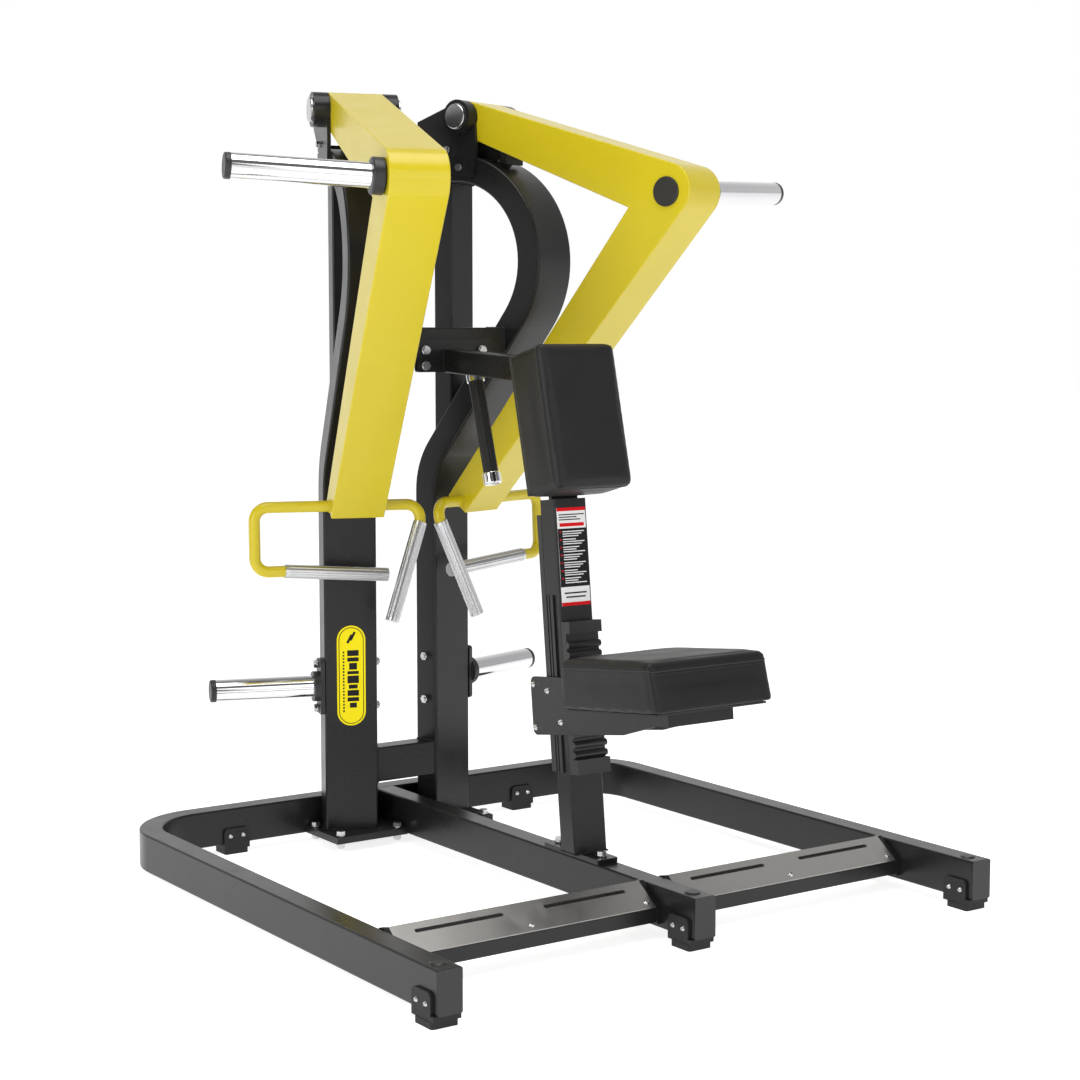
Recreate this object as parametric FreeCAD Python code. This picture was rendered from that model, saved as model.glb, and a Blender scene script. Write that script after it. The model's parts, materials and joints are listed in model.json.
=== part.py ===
import FreeCAD, Part
import math
import os
from FreeCAD import Vector

# Plate-loaded lever row machine: a bolted steel base, two yawed uprights that carry two swing
# arms, a chest pad on a post, and a seat that slides on that post.
# Frame: X across, Y along (the user sits at -Y and faces +Y), Z up, origin on the floor at the
# middle of the base. Every length is in millimetres and every angle in degrees.

os.makedirs("parts", exist_ok=True)

# Base frame
BASE_HALF_WIDTH = 655
BASE_FRONT_Y = -662
BASE_REAR_Y = 662
BEAM_FRONT_Y = -560
RAIL_WIDTH = 50
RAIL_HEIGHT = 80
RAIL_BOTTOM = 22
RAIL_TOP = RAIL_BOTTOM + RAIL_HEIGHT
RAIL_WALL = 3
RAIL_EDGE = 4
BEND_RADIUS = 150
RAIL_X = BASE_HALF_WIDTH - RAIL_WIDTH / 2
REAR_RAIL_Y = BASE_REAR_Y - RAIL_WIDTH / 2
REAR_INNER_Y = BASE_REAR_Y - RAIL_WIDTH
BASE_BOLTS = ((44, 484), (190, 484), (192, 595), (40, 592))
REAR_FOOT_X = 385
BEND_X = RAIL_X - BEND_RADIUS
BEND_Y = REAR_RAIL_Y - BEND_RADIUS

# Uprights, in the side frame: s forward, q outward, z up
YAW = 18
UPRIGHT_X = 125.7
UPRIGHT_Y = 556.5
TUBE_DEPTH = 60
TUBE_WIDTH = 120
TUBE_WALL = 3
TUBE_EDGE = 5
HALF_DEPTH = TUBE_DEPTH / 2
HALF_WIDTH = TUBE_WIDTH / 2
BASE_PLATE_THICK = 15
COLUMN_BOTTOM = RAIL_BOTTOM + BASE_PLATE_THICK
FIRST_BEND_Z = 795
FIRST_BEND_RADIUS = 160
LEAN = 37
HOOP_S = 88
HOOP_RADIUS = 208
HOOP_END_S = 8
PILLAR_S = 13
PILLAR_DEPTH = 50
PILLAR_HALF_WIDTH = 40
BADGE_LENGTH = 227
BADGE_WIDTH = 65
BADGE_Z = 388

# Swing arms
PIVOT_S = 120
PIVOT_Z = 1629
HUB_RADIUS = 37
SHAFT_RADIUS = 20
RUNNING_GAP = 0.05
BODY_GAP = 0.5
ELBOW_S = 658
ELBOW_Z = 1448
ELBOW_RADIUS = 57
INNER_ELBOW = (560.3, 1415.8)
TOE = (116, 750.5)
HEEL = (67.6, 788)
ARM_HALF_WIDTH = HALF_WIDTH - BODY_GAP
ARM_WALL = 4
ARM_EDGE = 3
PLATE_THICK = 8
HOUSINGS = ((-1, 22), (1, 26))
BEARING_RADIUS = 29
CAP_RADIUS = 27
CAP_LENGTH = 6

# Weight pegs
PEG_AXIS = (664, 1449)
PEG_RADIUS = 25
PEG_COLLAR_RADIUS = 36
PEG_COLLAR_LENGTH = 26
PEG_TIP_Q = 352
PEG_TILT = 2.6
PEG_CAP_LENGTH = 12
STORAGE_Z = 364
STORAGE_S = 12
STORAGE_TIP_Q = 314
FLANGE_HEIGHT = 124
FLANGE_DEPTH = 56
FLANGE_THICK = 10
STORAGE_BOLT_OFFSET = 50
STORAGE_BOLT_RADIUS = 5
STORAGE_COLLAR = 14

# Handles
BAR_RADIUS = 12.5
GRIP_RADIUS = 15.5
HANDLE_S = 103
HANDLE_Z = 777
OUTER_HANDLE_Q = 226
OUTER_HANDLE_DROP = 140
HANDLE_BEND = 30
OUTER_GRIP_LENGTH = 236
INNER_HANDLE_Q = 142
INNER_GRIP_LENGTH = 230
GRIP_BORE = 60
OUTER_HANDLE = [
    (HANDLE_S, -ARM_HALF_WIDTH, HANDLE_Z),
    (HANDLE_S, OUTER_HANDLE_Q, HANDLE_Z),
    (HANDLE_S + 5, OUTER_HANDLE_Q, HANDLE_Z - OUTER_HANDLE_DROP),
    (HANDLE_S + 4, OUTER_HANDLE_Q - 64, HANDLE_Z - OUTER_HANDLE_DROP),
]
OUTER_GRIP_END = (HANDLE_S - 18, OUTER_HANDLE_Q - 64 - OUTER_GRIP_LENGTH, HANDLE_Z - OUTER_HANDLE_DROP - 17)
INNER_HANDLE = [
    (HANDLE_S, -ARM_HALF_WIDTH, HANDLE_Z),
    (HANDLE_S, -INNER_HANDLE_Q, HANDLE_Z),
    (HANDLE_S + 9, -INNER_HANDLE_Q + 1, HANDLE_Z - 40),
]
INNER_GRIP_END = (155, -69, 533.5)

# Seat post, in the post frame: f forward, u up along the post
POST_TILT = 6.1
POST_FOOT_Y = -176
POST_WIDTH = 80
POST_DEPTH = 50
POST_FLANGE_THICK = 10
POST_LENGTH = 712
POST_FLANGE_FRONT_Y = -258
POST_FLANGE_REAR_Y = -70
POST_BOLTS = (-236, -92)
PLACARD_HALF_WIDTH = 35
PLACARD_LOW_U = 497
PLACARD_HIGH_U = 694
RACK_LOW_U = 160
RACK_HIGH_U = 466
RACK_BACK = 14
RACK_PITCH = 20
RACK_TOOTH = 9
TOOTH_RADIUS = 7
GUIDE_THICK = 14
GUIDE_HALF_WIDTH = 39
GUIDE_LOW_U = 163
GUIDE_HIGH_U = 682
CARRIAGE_LOW_U = 236
CARRIAGE_HIGH_U = 356
PAN_LOW_U = 296
PAN_HIGH_U = 302
REAR_ROLLERS = (340, 252)
FRONT_ROLLER = 334
ROLLER_RADIUS = 14
ROLLER_PIN = 5
SIDE_PLATE_X = 46
CHEEK_THICK = 5
PAN_HALF_WIDTH = 78
SEAT_LOW_U = 306
SEAT_HIGH_U = 403
SEAT_REAR_F = 150
SEAT_FRONT_F = 433
SEAT_HALF_WIDTH = 144
SLIDE_GAP = 0.4

# Chest pad
PAD_TILT = 13.7
PAD_BACK_Y = -107
PAD_BACK_Z = 823
PAD_HEIGHT = 294
PAD_THICK = 107
PAD_BOARD = 9
PAD_HALF_WIDTH = 95
PAD_BAR_TILT = 3
PAD_BAR_ROOT_Y = 308
PAD_BAR_ROOT_Z = 1094
PAD_BAR_SIZE = 50
PAD_BAR_LENGTH = 400
PAD_BOLTS = ((-72, 1117), (72, 1117), (-72, 1084), (72, 1084))
SPINE_THICK = 10
SPINE_HALF_WIDTH = 32
CROSSMEMBER_Y = 343
CROSSMEMBER_LOW = 1086
CROSSMEMBER_HIGH = 1166

# Steady grip
STEADY_TOP = Vector(0, 222, 1062)
STEADY_TIP = Vector(0, 154, 835)
STEADY_RADIUS = 16
KNOB_RADIUS = 19.5
KNOB_LENGTH = 26

# Foot plates
STEP_REAR_Y = -404
STEP_FRONT_Y = -457
STEP_REAR_Z = 101
STEP_FRONT_Z = 62.5
STEP_BOTTOM_Z = 35
STEP_CHEEK = 10
STEP_SHEET = 3
STEP_SCREWS = (50, 315, 580)
STEP_SLOTS = ((80, 269), (360, 549))

SIDES = (("left", -1), ("right", 1))
UP = Vector(0, 0, 1)
ORIGIN = Vector(0, 0, 0)


# ---------------------------------------------------------------- helpers

def export(shape, name):
    shape.exportStep("parts/" + name + ".step")


def block(low, high):
    size = Vector(*high) - Vector(*low)
    return Part.makeBox(size.x, size.y, size.z, Vector(*low))


def rod(start, direction, radius, length):
    return Part.makeCylinder(radius, length, Vector(*start), Vector(*direction))


def sleeve(start, direction, outer, inner, length):
    return rod(start, direction, outer, length).cut(rod(start, direction, inner, length))


def hexagon(start, direction, across_flats, height):
    corner = across_flats / math.sqrt(3)
    axis = Vector(*direction).normalize()
    turn = FreeCAD.Rotation(UP, axis)
    points = []
    for k in range(7):
        angle = math.radians(60 * k)
        point = Vector(corner * math.cos(angle), corner * math.sin(angle), 0)
        points.append(turn.multVec(point) + Vector(*start))
    face = Part.Face(Part.makePolygon(points))
    return face.extrude(axis * height)


def bolt(head, direction, thread, shank, across_flats):
    """A hex bolt whose shank runs along direction from the underside of its head."""
    axis = Vector(*direction).normalize()
    back = axis * -1
    body = rod(head, tuple(axis), thread / 2, shank)
    washer = rod(tuple(Vector(*head) + back * 2), tuple(axis), across_flats * 0.62, 2)
    top = hexagon(tuple(Vector(*head) + back * 2), tuple(back), across_flats, thread * 0.62)
    return body.fuse([washer, top])


def button_screw(head, direction, radius, length):
    """A domed socket screw: a low dome over a shank that runs along direction."""
    axis = Vector(*direction).normalize()
    shank = rod(head, tuple(axis), radius * 0.5, length)
    dome = Part.makeCone(radius, radius * 0.62, radius * 0.55, Vector(*head), axis * -1)
    socket = hexagon(tuple(Vector(*head) - axis * radius * 0.56), tuple(axis), radius * 0.7, radius * 0.3)
    return shank.fuse(dome).cut(socket)


def prism(points, axis, low, high):
    """Extrude a polygon given in the plane across axis: 'x' takes (y, z) and 'y' takes (x, z)."""
    if axis == "x":
        corners = [Vector(low, a, b) for a, b in points]
        sweep = Vector(high - low, 0, 0)
    else:
        corners = [Vector(a, low, b) for a, b in points]
        sweep = Vector(0, high - low, 0)
    return Part.Face(Part.makePolygon(corners + corners[:1])).extrude(sweep)


def round_edges(shape, test, radius):
    return shape.makeFillet(radius, [edge for edge in shape.Edges if test(edge)])


def runs_along(direction):
    """A test for straight edges parallel to a direction."""
    axis = Vector(*direction).normalize()

    def test(edge):
        if not isinstance(edge.Curve, Part.Line):
            return False
        return abs(edge.tangentAt(edge.FirstParameter).dot(axis)) > 0.999
    return test


def box_tube(low, high, axis, edge=RAIL_EDGE, wall=RAIL_WALL):
    """A square-cut rectangular tube, open at both ends, with rounded long edges."""
    outer = round_edges(block(low, high), runs_along(axis), edge)
    grow = Vector(*axis)
    inset_low = Vector(*low) + Vector(wall, wall, wall) - grow * (wall + 1)
    inset_high = Vector(*high) - Vector(wall, wall, wall) + grow * (wall + 1)
    return outer.cut(block(tuple(inset_low), tuple(inset_high)))


def arc_edge(centre, radius, start, end, q):
    """An arc in the s-z plane, angles in degrees from +s towards +z."""
    points = []
    for angle in (start, (start + end) / 2, end):
        turn = math.radians(angle)
        points.append(Vector(centre[0] + radius * math.cos(turn), q, centre[1] + radius * math.sin(turn)))
    return Part.Arc(*points).toShape()


def line_edge(start, end, q):
    return Part.makeLine(Vector(start[0], q, start[1]), Vector(end[0], q, end[1]))


def on_circle(centre, radius, angle):
    turn = math.radians(angle)
    return (centre[0] + radius * math.cos(turn), centre[1] + radius * math.sin(turn))


def place(shape, side):
    """Move a shape from the right side frame (s, q, z) to the machine, mirrored for the left."""
    moved = shape.copy()
    moved.rotate(ORIGIN, UP, YAW - 90)
    moved.translate(Vector(UPRIGHT_X, UPRIGHT_Y, 0))
    if side < 0:
        moved = moved.mirror(ORIGIN, Vector(1, 0, 0))
    return moved


def from_post(shape):
    """Move a shape from the post frame (x, -f, u) to the machine."""
    moved = shape.copy()
    moved.rotate(ORIGIN, Vector(1, 0, 0), -POST_TILT)
    moved.translate(Vector(0, POST_FOOT_Y, RAIL_TOP + POST_FLANGE_THICK))
    return moved


def from_pad(shape):
    """Move a shape from the pad frame, origin at the lower back edge, to the machine."""
    moved = shape.copy()
    moved.rotate(ORIGIN, Vector(1, 0, 0), -PAD_TILT)
    moved.translate(Vector(0, PAD_BACK_Y, PAD_BACK_Z))
    return moved


# ---------------------------------------------------------------- base

def side_rail(side):
    x = side * RAIL_X
    half = RAIL_WIDTH / 2
    return box_tube((x - half, BASE_FRONT_Y, RAIL_BOTTOM), (x + half, BEND_Y, RAIL_TOP), (0, 1, 0))


def rear_rail():
    half = RAIL_WIDTH / 2
    low = (-BEND_X, REAR_RAIL_Y - half, RAIL_BOTTOM)
    high = (BEND_X, REAR_RAIL_Y + half, RAIL_TOP)
    return box_tube(low, high, (1, 0, 0))


def bend_section(inset, edge):
    half = RAIL_WIDTH / 2 - inset
    low = Vector(BEND_X + BEND_RADIUS - half, BEND_Y, RAIL_BOTTOM + inset)
    high = Vector(BEND_X + BEND_RADIUS + half, BEND_Y, RAIL_TOP - inset)
    corners = [low, Vector(high.x, BEND_Y, low.z), high, Vector(low.x, BEND_Y, high.z), low]
    face = Part.Face(Part.makePolygon(corners))
    solid = face.revolve(Vector(BEND_X, BEND_Y, 0), UP, 90)
    if edge:
        solid = round_edges(solid, lambda e: isinstance(e.Curve, Part.Circle), edge)
    return solid


def rear_bend(side):
    bend = bend_section(0, RAIL_EDGE).cut(bend_section(RAIL_WALL, 0))
    if side < 0:
        bend = bend.mirror(ORIGIN, Vector(1, 0, 0))
    return bend


def centre_beam():
    half = RAIL_WIDTH / 2
    return box_tube((-half, BEAM_FRONT_Y, RAIL_BOTTOM), (half, REAR_INNER_Y, RAIL_TOP), (0, 1, 0))


def rail_plug(x, y):
    """A flat plug that closes the front end of a rail."""
    half = RAIL_WIDTH / 2 - RAIL_WALL
    low = (x - half, y, RAIL_BOTTOM + RAIL_WALL)
    high = (x + half, y + 14, RAIL_TOP - RAIL_WALL)
    face = block((x - half - 2.5, y - 2.5, RAIL_BOTTOM + 0.5), (x + half + 2.5, y, RAIL_TOP - 0.5))
    return round_edges(face, runs_along((0, 1, 0)), 3).fuse(block(low, high))


def top_plug(x, y):
    """The low round head of a snap-in plug on top of a rail."""
    return Part.makeCone(16, 13, 2.5, Vector(x, y, RAIL_TOP), UP)


def front_foot(x, y):
    """A stepped rubber shoe under a rail end, with a screw ear on its -X side."""
    half = RAIL_WIDTH / 2
    sole = block((x - half - 7, y + 6, 0), (x + half - 3, y + 62, 12))
    sole = round_edges(sole, runs_along((0, 0, 1)), 5)
    body = block((x - half - 6, y + 3, 12), (x + half, y + 66, RAIL_BOTTOM))
    ear = block((x - half - 6, y + 12, 12), (x - half, y + 72, 61))
    ear = round_edges(ear, lambda e: runs_along((1, 0, 0))(e) and e.BoundBox.ZMin > 60, 10)
    return sole.fuse([body, ear])


def rear_foot(side):
    """A rubber shoe under the rear rail, with its ear on the inner face."""
    x = side * REAR_FOOT_X
    sole = block((x - 28, REAR_INNER_Y - 5, 0), (x + 28, BASE_REAR_Y - 2, 12))
    sole = round_edges(sole, runs_along((0, 0, 1)), 5)
    body = block((x - 31, REAR_INNER_Y - 6, 12), (x + 31, BASE_REAR_Y, RAIL_BOTTOM))
    ear = block((x - 31, REAR_INNER_Y - 6, 12), (x + 31, REAR_INNER_Y, 58))
    ear = round_edges(ear, lambda e: runs_along((0, 1, 0))(e) and e.BoundBox.ZMin > 57, 10)
    return sole.fuse([body, ear])


def screw_spots():
    """Head centre and direction of every screw that holds a rubber shoe."""
    spots = []
    for x, y in ((-RAIL_X, BASE_FRONT_Y), (0, BEAM_FRONT_Y), (RAIL_X, BASE_FRONT_Y)):
        for step in (27, 57):
            spots.append(((x - RAIL_WIDTH / 2 - 6, y + step, 40), (1, 0, 0)))
    for side in (-1, 1):
        for step in (-15.5, 15.5):
            spots.append(((side * REAR_FOOT_X + step, REAR_INNER_Y - 6, 40.5), (0, 1, 0)))
    return spots


def drill_shoe(shoe):
    for start, direction in screw_spots():
        shoe = shoe.cut(rod(start, direction, 2.5, 6))
    return shoe


def foot_screws():
    return [button_screw(start, direction, 5, 6) for start, direction in screw_spots()]


def base_plate(side):
    """The plate welded between the centre beam and the rear rail, under one column."""
    low = (RAIL_WIDTH / 2, 469, RAIL_BOTTOM)
    high = (207, REAR_INNER_Y, COLUMN_BOTTOM)
    plate = block(low, high)
    for x, y in BASE_BOLTS:
        plate = plate.cut(rod((x, y, RAIL_BOTTOM), (0, 0, 1), 6, BASE_PLATE_THICK))
    if side < 0:
        plate = plate.mirror(ORIGIN, Vector(1, 0, 0))
    return plate


def base_bolts(side):
    shapes = []
    for x, y in BASE_BOLTS:
        shape = bolt((x, y, COLUMN_BOTTOM + 2), (0, 0, -1), 12, 30, 18)
        nut = hexagon((x, y, RAIL_BOTTOM), (0, 0, -1), 18, 10)
        shapes.append(shape.fuse(nut))
    if side < 0:
        shapes = [shape.mirror(ORIGIN, Vector(1, 0, 0)) for shape in shapes]
    return shapes


# ---------------------------------------------------------------- uprights

def upright_centres():
    """Centres of the two bends of the upright, in the s-z plane."""
    lean = math.radians(LEAN)
    first = (FIRST_BEND_RADIUS, FIRST_BEND_Z)
    leave = on_circle(first, FIRST_BEND_RADIUS, 180 - LEAN)
    hoop_s = HOOP_S + HOOP_RADIUS * math.cos(lean)
    hoop_z = leave[1] + (hoop_s - leave[0]) / math.tan(lean)
    return first, (HOOP_S, hoop_z + HOOP_RADIUS * math.sin(lean))


def upright_solid(inset, end_s, low_z):
    """The bent upright as a solid bar, inset by a wall thickness."""
    half = HALF_DEPTH - inset
    width = HALF_WIDTH - inset
    first, hoop = upright_centres()
    front_bend = FIRST_BEND_RADIUS - half
    rear_bend_radius = FIRST_BEND_RADIUS + half
    front_hoop = HOOP_RADIUS + half
    rear_hoop = HOOP_RADIUS - half
    q = -width
    edges = [
        line_edge((half, low_z), (half, first[1]), q),
        arc_edge(first, front_bend, 180, 180 - LEAN, q),
        line_edge(on_circle(first, front_bend, 180 - LEAN), on_circle(hoop, front_hoop, -LEAN), q),
        arc_edge(hoop, front_hoop, -LEAN, 90, q),
        line_edge((hoop[0], hoop[1] + front_hoop), (end_s, hoop[1] + front_hoop), q),
        line_edge((end_s, hoop[1] + front_hoop), (end_s, hoop[1] + rear_hoop), q),
        line_edge((end_s, hoop[1] + rear_hoop), (hoop[0], hoop[1] + rear_hoop), q),
        arc_edge(hoop, rear_hoop, 90, -LEAN, q),
        line_edge(on_circle(hoop, rear_hoop, -LEAN), on_circle(first, rear_bend_radius, 180 - LEAN), q),
        arc_edge(first, rear_bend_radius, 180 - LEAN, 180, q),
        line_edge((-half, first[1]), (-half, low_z), q),
        line_edge((-half, low_z), (half, low_z), q),
    ]
    wire = Part.Wire(Part.__sortEdges__(edges))
    return Part.Face(wire).extrude(Vector(0, 2 * width, 0))


def is_long_edge(edge, width, low_z, end_s):
    """True for the edges of the upright that follow its path."""
    box = edge.BoundBox
    flat = abs(box.YMax - box.YMin) < 0.01 and abs(abs(box.YMax) - width) < 0.01
    bottom = box.ZMax < low_z + 0.01
    top = box.XMax < end_s + 0.01 and box.XMin > end_s - 0.01 and box.ZMin > 1000
    return flat and not bottom and not top


def upright_outer():
    solid = upright_solid(0, HOOP_END_S, COLUMN_BOTTOM)
    return round_edges(solid, lambda e: is_long_edge(e, HALF_WIDTH, COLUMN_BOTTOM, HOOP_END_S), TUBE_EDGE)


def upright(outer):
    """The bent tube, drilled through both side walls for the storage peg's bolts."""
    tube = outer.cut(upright_solid(TUBE_WALL, HOOP_END_S - 1, COLUMN_BOTTOM - 1))
    for z_side in (-1, 1):
        start = (0, -HALF_WIDTH - 1, STORAGE_Z + z_side * STORAGE_BOLT_OFFSET)
        tube = tube.cut(rod(start, (0, 1, 0), STORAGE_BOLT_RADIUS, TUBE_WIDTH + 2))
    return tube


def hoop_end_cap():
    """The plate that closes the top end of the bent tube."""
    hoop = upright_centres()[1]
    low = (HOOP_END_S - 4, -HALF_WIDTH, hoop[1] + HOOP_RADIUS - HALF_DEPTH)
    high = (HOOP_END_S, HALF_WIDTH, hoop[1] + HOOP_RADIUS + HALF_DEPTH)
    return round_edges(block(low, high), runs_along((1, 0, 0)), TUBE_EDGE)


def rear_pillar():
    """The straight tube from the back of the lower bend up to the underside of the hoop."""
    hoop = upright_centres()[1]
    top = hoop[1] + HOOP_RADIUS - HALF_DEPTH
    low = (PILLAR_S, -PILLAR_HALF_WIDTH, 850)
    high = (PILLAR_S + PILLAR_DEPTH, PILLAR_HALF_WIDTH, top)
    tube = box_tube(low, high, (0, 0, 1))
    solid = upright_solid(0, HOOP_END_S, COLUMN_BOTTOM)
    return max(tube.cut(solid).Solids, key=lambda part: part.BoundBox.ZMax)


def crossbar():
    """The tube between the two columns."""
    inner = UPRIGHT_X - HALF_WIDTH * math.cos(math.radians(YAW))
    tube = box_tube((-inner - 12, 513, 140), (inner + 12, 563, 219), (1, 0, 0))
    for side in (-1, 1):
        column = block((-HALF_DEPTH, -HALF_WIDTH, 0), (HALF_DEPTH, HALF_WIDTH, 400))
        tube = tube.cut(place(column, side))
    return max(tube.Solids, key=lambda part: part.Volume)


# ---------------------------------------------------------------- hub

def hub_plate_outline():
    """Corners of the hub side plate in the s-z plane, round the housing."""
    return [(-10, 1626), (-10, 1614), (58, 1546), (58, 1500), (150, 1500), (158, 1560), (154, 1612)]


def hub_bolt_spots():
    return [(s, z, q_side) for q_side in (-1, 1) for s, z in ((78, 1518), (112, 1520), (78, 1560))]


def hub_bracket():
    """Two side plates with bearing housings on their outer faces, and the saddle between them."""
    pieces = []
    centre = (PIVOT_S, PIVOT_Z)
    corners = hub_plate_outline() + [on_circle(centre, HUB_RADIUS, angle) for angle in (20, 60, 110)]
    for q_side, reach in HOUSINGS:
        low, high = sorted((q_side * HALF_WIDTH, q_side * (HALF_WIDTH + PLATE_THICK)))
        plate = prism(corners, "y", low, high)
        disc = rod((PIVOT_S, low, PIVOT_Z), (0, 1, 0), HUB_RADIUS, PLATE_THICK)
        start = (PIVOT_S, q_side * (HALF_WIDTH + PLATE_THICK), PIVOT_Z)
        housing = rod(start, (0, q_side, 0), HUB_RADIUS, reach)
        bore_start = (PIVOT_S, q_side * HALF_WIDTH, PIVOT_Z)
        bore = rod(bore_start, (0, q_side, 0), BEARING_RADIUS, PLATE_THICK + reach)
        pieces.append(plate.fuse([disc, housing]).cut(bore))
    hoop = upright_centres()[1]
    top = hoop[1] + HOOP_RADIUS + HALF_DEPTH
    saddle = block((HOOP_END_S, -HALF_WIDTH, top), (92, HALF_WIDTH, top + 8))
    bracket = pieces[0].fuse([pieces[1], saddle])
    for s, z, q_side in hub_bolt_spots():
        bracket = bracket.cut(rod((s, q_side * HALF_WIDTH, z), (0, q_side, 0), 4, PLATE_THICK))
    return bracket


def hub_bearings():
    """One ball bearing in each housing."""
    bearings = []
    for q_side, reach in HOUSINGS:
        start = (PIVOT_S, q_side * (HALF_WIDTH + 1), PIVOT_Z)
        length = PLATE_THICK + reach - 2
        bearings.append(sleeve(start, (0, q_side, 0), BEARING_RADIUS, SHAFT_RADIUS + RUNNING_GAP, length))
    return bearings


def hub_bolts():
    """Hex bolts that clamp the side plates to the hoop."""
    bolts = []
    for s, z, q_side in hub_bolt_spots():
        head = (s, q_side * (HALF_WIDTH + PLATE_THICK + 2), z)
        bolts.append(bolt(head, (0, -q_side, 0), 8, 10, 13))
    return bolts


def stop_block(outer):
    """The stop under the upper arm, welded to the front of the hoop."""
    start = underside_point(125, 5)
    end = underside_point(196, 5)
    points = [start, end, (end[0] - 9, end[1] - 23), (165, 1500), (110, 1530), (108, start[1] - 6)]
    stop = prism(points, "y", -28, 28)
    return max(stop.cut(outer).Solids, key=lambda part: part.Volume)


def arm_underside_angle():
    """Slope of the arm's underside, in degrees, from its inner elbow to the hub."""
    run = INNER_ELBOW[0] - PIVOT_S
    rise = PIVOT_Z - INNER_ELBOW[1]
    reach = math.hypot(run, rise)
    return math.degrees(math.atan2(rise, run) - math.asin(HUB_RADIUS / reach))


def underside_point(s, gap):
    """A point a given gap below the arm's underside."""
    slope = math.radians(arm_underside_angle())
    z = INNER_ELBOW[1] + (INNER_ELBOW[0] - s) * math.tan(slope)
    return (s, z - gap / math.cos(slope))


def stop_bumper():
    """The rubber pad on the end of the stop, just clear of the resting arm."""
    corners = [underside_point(s, gap) for s, gap in ((196.2, 0.4), (214, 0.4), (214, 27), (196.2, 27))]
    return round_edges(prism(corners, "y", -30, 30), runs_along((0, 1, 0)), 3)


# ---------------------------------------------------------------- swing arms

def tangent_angle(point, centre, radius, turn):
    """Angle on the circle where the line from a point touches it, on the side given by turn."""
    reach = math.hypot(point[0] - centre[0], point[1] - centre[1])
    towards = math.degrees(math.atan2(point[1] - centre[1], point[0] - centre[0]))
    return towards + turn * math.degrees(math.acos(radius / reach))


def arm_solid(inset, half_width):
    """The arm's outline as tangent lines between the hub and elbow rounds, extruded."""
    hub = (PIVOT_S, PIVOT_Z)
    elbow = (ELBOW_S, ELBOW_Z)
    hub_r = HUB_RADIUS - inset
    elbow_r = ELBOW_RADIUS - inset
    run = elbow[0] - hub[0]
    rise = elbow[1] - hub[1]
    top = math.degrees(math.atan2(rise, run) + math.asin((elbow_r - hub_r) / math.hypot(run, rise)))
    inner = (INNER_ELBOW[0] + inset * 0.9, INNER_ELBOW[1] + inset * 1.5)
    toe = (TOE[0] - inset * 0.3, TOE[1] + inset * 1.4)
    heel = (HEEL[0] + inset * 1.4, HEEL[1] + inset * 0.2)
    front = tangent_angle(toe, elbow, elbow_r, 1)
    under = tangent_angle(inner, hub, hub_r, -1)
    q = -half_width
    edges = [
        line_edge(on_circle(hub, hub_r, top + 90), on_circle(elbow, elbow_r, top + 90), q),
        arc_edge(elbow, elbow_r, top + 90, front, q),
        line_edge(on_circle(elbow, elbow_r, front), toe, q),
        line_edge(toe, heel, q),
        line_edge(heel, inner, q),
        line_edge(inner, on_circle(hub, hub_r, under), q),
        arc_edge(hub, hub_r, under, top + 90 - 360, q),
    ]
    return Part.Face(Part.Wire(Part.__sortEdges__(edges))).extrude(Vector(0, 2 * half_width, 0))


def swing_arm():
    """The boxed arm: hollow, but solid round the hub."""
    outer = arm_solid(0, ARM_HALF_WIDTH)
    outer = round_edges(outer, lambda edge: edge.BoundBox.YLength < 0.01, ARM_EDGE)
    hollow = arm_solid(ARM_WALL, ARM_HALF_WIDTH - ARM_WALL)
    near_hub = rod((PIVOT_S, -70, PIVOT_Z), (0, 1, 0), HUB_RADIUS + 6, 140)
    arm = outer.cut(hollow.cut(near_hub))
    arm = arm.cut(rod((PIVOT_S, -70, PIVOT_Z), (0, 1, 0), SHAFT_RADIUS, 140))
    arm = arm.cut(rod((HANDLE_S, -70, HANDLE_Z), (0, 1, 0), BAR_RADIUS, 140))
    peg_hole = rod((PEG_AXIS[0], ARM_HALF_WIDTH - 10, PEG_AXIS[1]), (0, 1, 0), 12, 20)
    return arm.cut(peg_hole)


def pivot_shaft():
    low, high = [side * (HALF_WIDTH + PLATE_THICK + reach) for side, reach in HOUSINGS]
    return rod((PIVOT_S, low, PIVOT_Z), (0, 1, 0), SHAFT_RADIUS, high - low)


def pivot_caps():
    """Turned caps on both ends of the shaft, just proud of the housings."""
    caps = []
    for q_side, reach in HOUSINGS:
        start = Vector(PIVOT_S, q_side * (HALF_WIDTH + PLATE_THICK + reach), PIVOT_Z)
        shim = rod(tuple(start), (0, q_side, 0), SHAFT_RADIUS, BODY_GAP)
        disc = rod(tuple(start + Vector(0, q_side * BODY_GAP, 0)), (0, q_side, 0), CAP_RADIUS, CAP_LENGTH)
        disc = disc.makeChamfer(1.5, [e for e in disc.Edges if isinstance(e.Curve, Part.Circle)])
        caps.append(shim.fuse(disc))
    return caps


def tilt_peg(shape):
    """Tip a weight peg up about its root on the arm."""
    moved = shape.copy()
    moved.rotate(Vector(PEG_AXIS[0], ARM_HALF_WIDTH, PEG_AXIS[1]), Vector(1, 0, 0), PEG_TILT)
    return moved


def weight_peg():
    """The chromed peg, with a spigot that goes into the arm."""
    root = Vector(PEG_AXIS[0], ARM_HALF_WIDTH + PEG_COLLAR_LENGTH, PEG_AXIS[1])
    tube = rod(tuple(root), (0, 1, 0), PEG_RADIUS, PEG_TIP_Q - ARM_HALF_WIDTH - PEG_COLLAR_LENGTH)
    spigot = rod(tuple(root - Vector(0, PEG_COLLAR_LENGTH, 0)), (0, 1, 0), 11, PEG_COLLAR_LENGTH)
    return tilt_peg(tube.fuse(spigot))


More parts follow.
